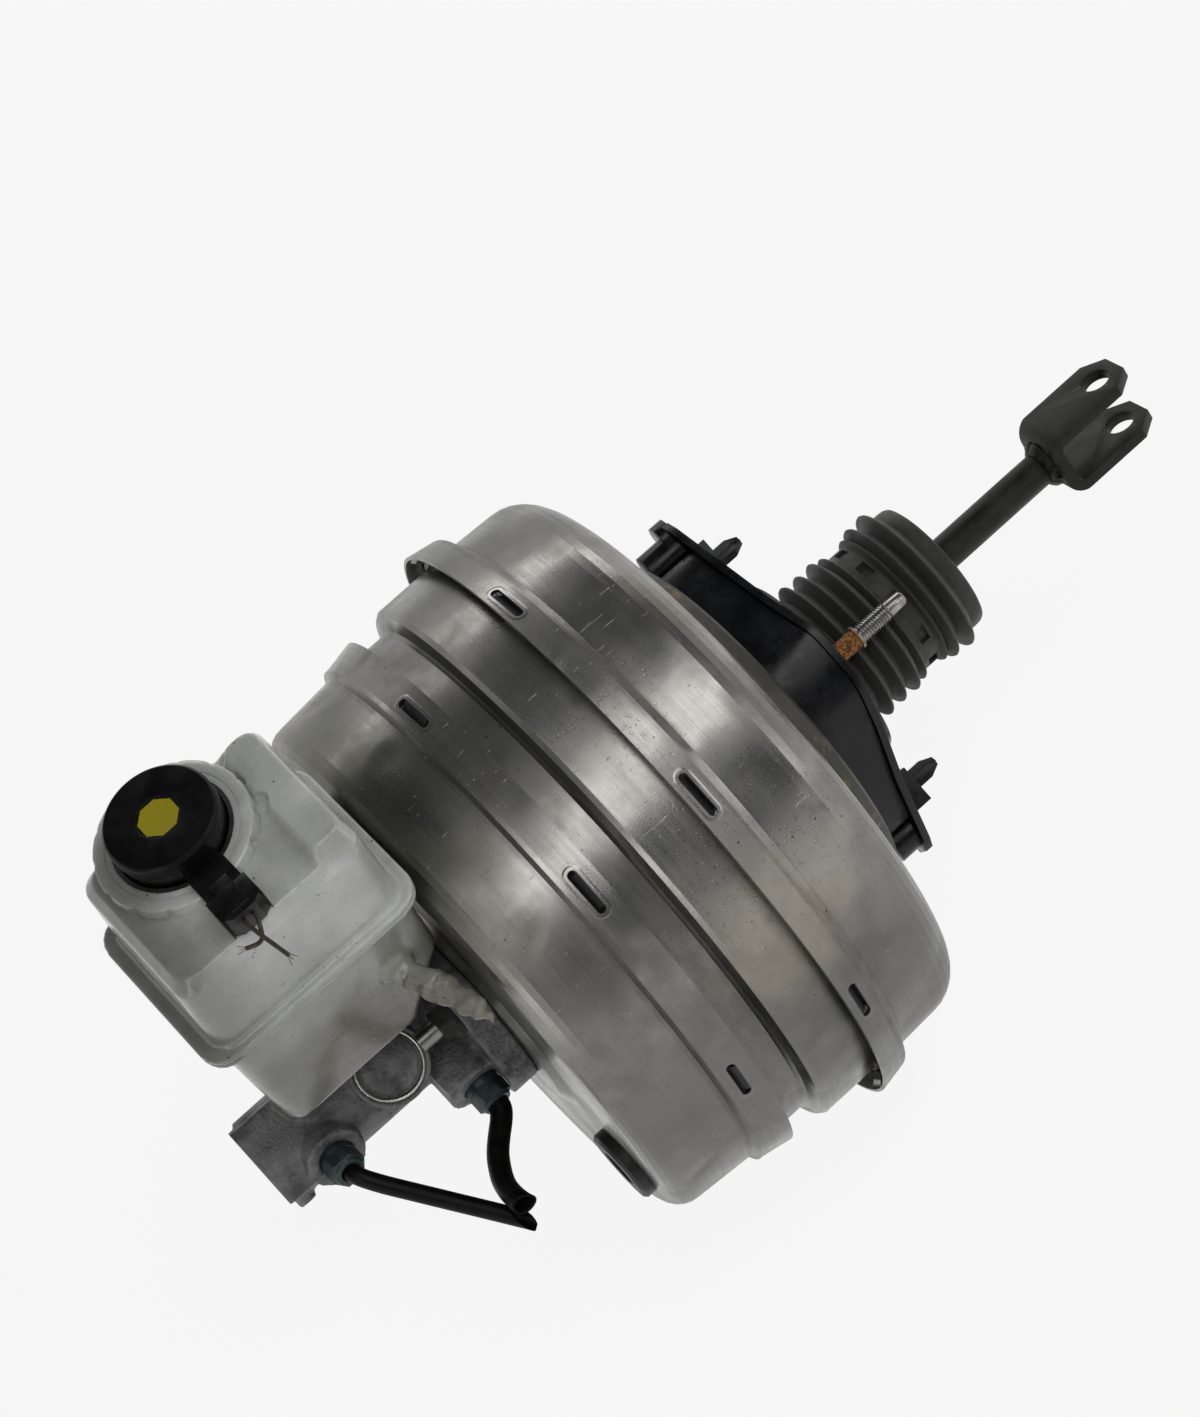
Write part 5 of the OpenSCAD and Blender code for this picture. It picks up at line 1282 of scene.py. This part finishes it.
@dataclass
class LevelSensor:
    """The sensor head with its plug, wires, stem and float, and the filler cap."""

    wire_r: float = 0.85
    hair_r: float = 0.16
    hairs: tuple[Pair, ...] = ((-0.5, 3.2), (0.1, 2.6), (0.6, 3.4))
    axis: Point = (-239.0, 17.5, 170.0)
    share: Point = (0.915, 0.915, 1.0)
    routes: tuple[tuple[Point, ...], ...] = (
        ((-241.6, -30, 169), (-241.4, -36, 169), (-240.4, -43, 168.6), (-239.3, -49, 168), (-238.3, -55.4, 167.4)),
        ((-236.6, -30, 169), (-236.9, -35, 169), (-239.0, -39.6, 167.8), (-240.8, -42.2, 166.4), (-243.5, -42, 165.4),
         (-247.2, -39.6, 165)),
    )

    def moulded(self, node: str, name: str, width: float, segments: int, look: Looks, body: str) -> None:
        """Draws a moulded piece in towards the neck's axis and rounds it."""
        rounded(resized(from_node(node, name), self.axis, self.share), width, segments, look, body, node)

    def strands(self) -> list[Piece]:
        """The few bare strands that stick out of each cut wire."""
        made = []
        for *_, before, end in (map(Vector, route) for route in self.routes):
            along = (end - before).normalized()
            aside = along.cross(Vector((0, 0, 1)))
            for spread, length in self.hairs:
                tip = end + along * length + aside * spread * length + Vector((0, 0, -0.3 * spread))
                route = (end - along * 1.0 + aside * spread * 0.5, end + aside * spread * 0.6,
                         (end + tip) / 2 + aside * spread * 0.4, tip)
                made.append(tube("strand", list(route), self.hair_r, 1))
        return made

    def build(self) -> None:
        """Rounds the moulded pieces, lays the wires and puts on the cap."""
        self.moulded("sensor_head", "sensor_arm", 0.4, 2, Looks.MOULDED, "level_sensor")
        self.moulded("connector_plug", "plug_body", 0.35, 2, Looks.MOULDED, "level_sensor")
        painted(Looks.MOULDED, "sensor_stem")
        painted(Looks.RUBBER, "cap_seal")
        painted(Looks.FOAM, "sensor_float")
        wires = joined("short_wires", *(tube("wire", list(route), self.wire_r, 3) for route in self.routes))
        smooth(wires, 60)
        dressed(wires, Looks.SLEEVE, "level_sensor", "sensor_wires")
        frayed = joined("frayed_strands", *self.strands())
        smooth(frayed, 60)
        dressed(frayed, Looks.COPPER, "level_sensor")
        self.moulded("filler_cap", "cap_body", 0.5, 3, Looks.CAP, "cap")


@dataclass
class InnerWorks:
    """Everything that the shells hide."""

    flexing: tuple[tuple[str, Looks, str, str, float, float], ...] = (
        ("front_diaphragm", Looks.RUBBER, "housing", "power_piston", -144.5, -112.5),
        ("rear_diaphragm", Looks.RUBBER, "housing", "power_piston", -83.6, -60.0),
        ("return_spring", Looks.SPRING, "housing", "power_piston", -188.5, -118.2),
        ("primary_spring", Looks.SPRING, "housing", "primary", -248.2, -223.5),
        ("secondary_spring", Looks.SPRING, "housing", "secondary", -288.9, -270.5),
        ("rod_spring", Looks.SPRING, "power_piston", "control_valve", 0.4, 13.9),
    )

    def build(self) -> None:
        """Gives each hidden node its finish, and puts smooth copies in place of the springs and diaphragms."""
        painted(Looks.VALVE, "valve_body")
        painted(Looks.PLATED, "front_plate", "rear_plate", "output_rod", "rod_retainer", "stop_key",
                "poppet_retainer", "control_plunger")
        painted(Looks.RUBBER, "reaction_disc", "poppet_valve", "primary_cups", "secondary_cups")
        painted(Looks.SPRING, "poppet_spring")
        painted(Looks.BRIGHT_CAST, "primary_piston", "secondary_piston")
        painted(Looks.FELT, "air_filter")
        for row in self.flexing:
            flexed(*row)


def main() -> None:
    """Builds the studio and every sub-assembly."""
    logging.basicConfig(level=logging.INFO, format="%(message)s")
    bpy.context.scene.view_settings.view_transform = "Standard"
    for part in (Studio, ShellStack, Bulkhead, Boot, PedalRod, Cylinder, Reservoir, LevelSensor, InnerWorks):
        part().build()
    rest()


if __name__ == "__main__":
    main()
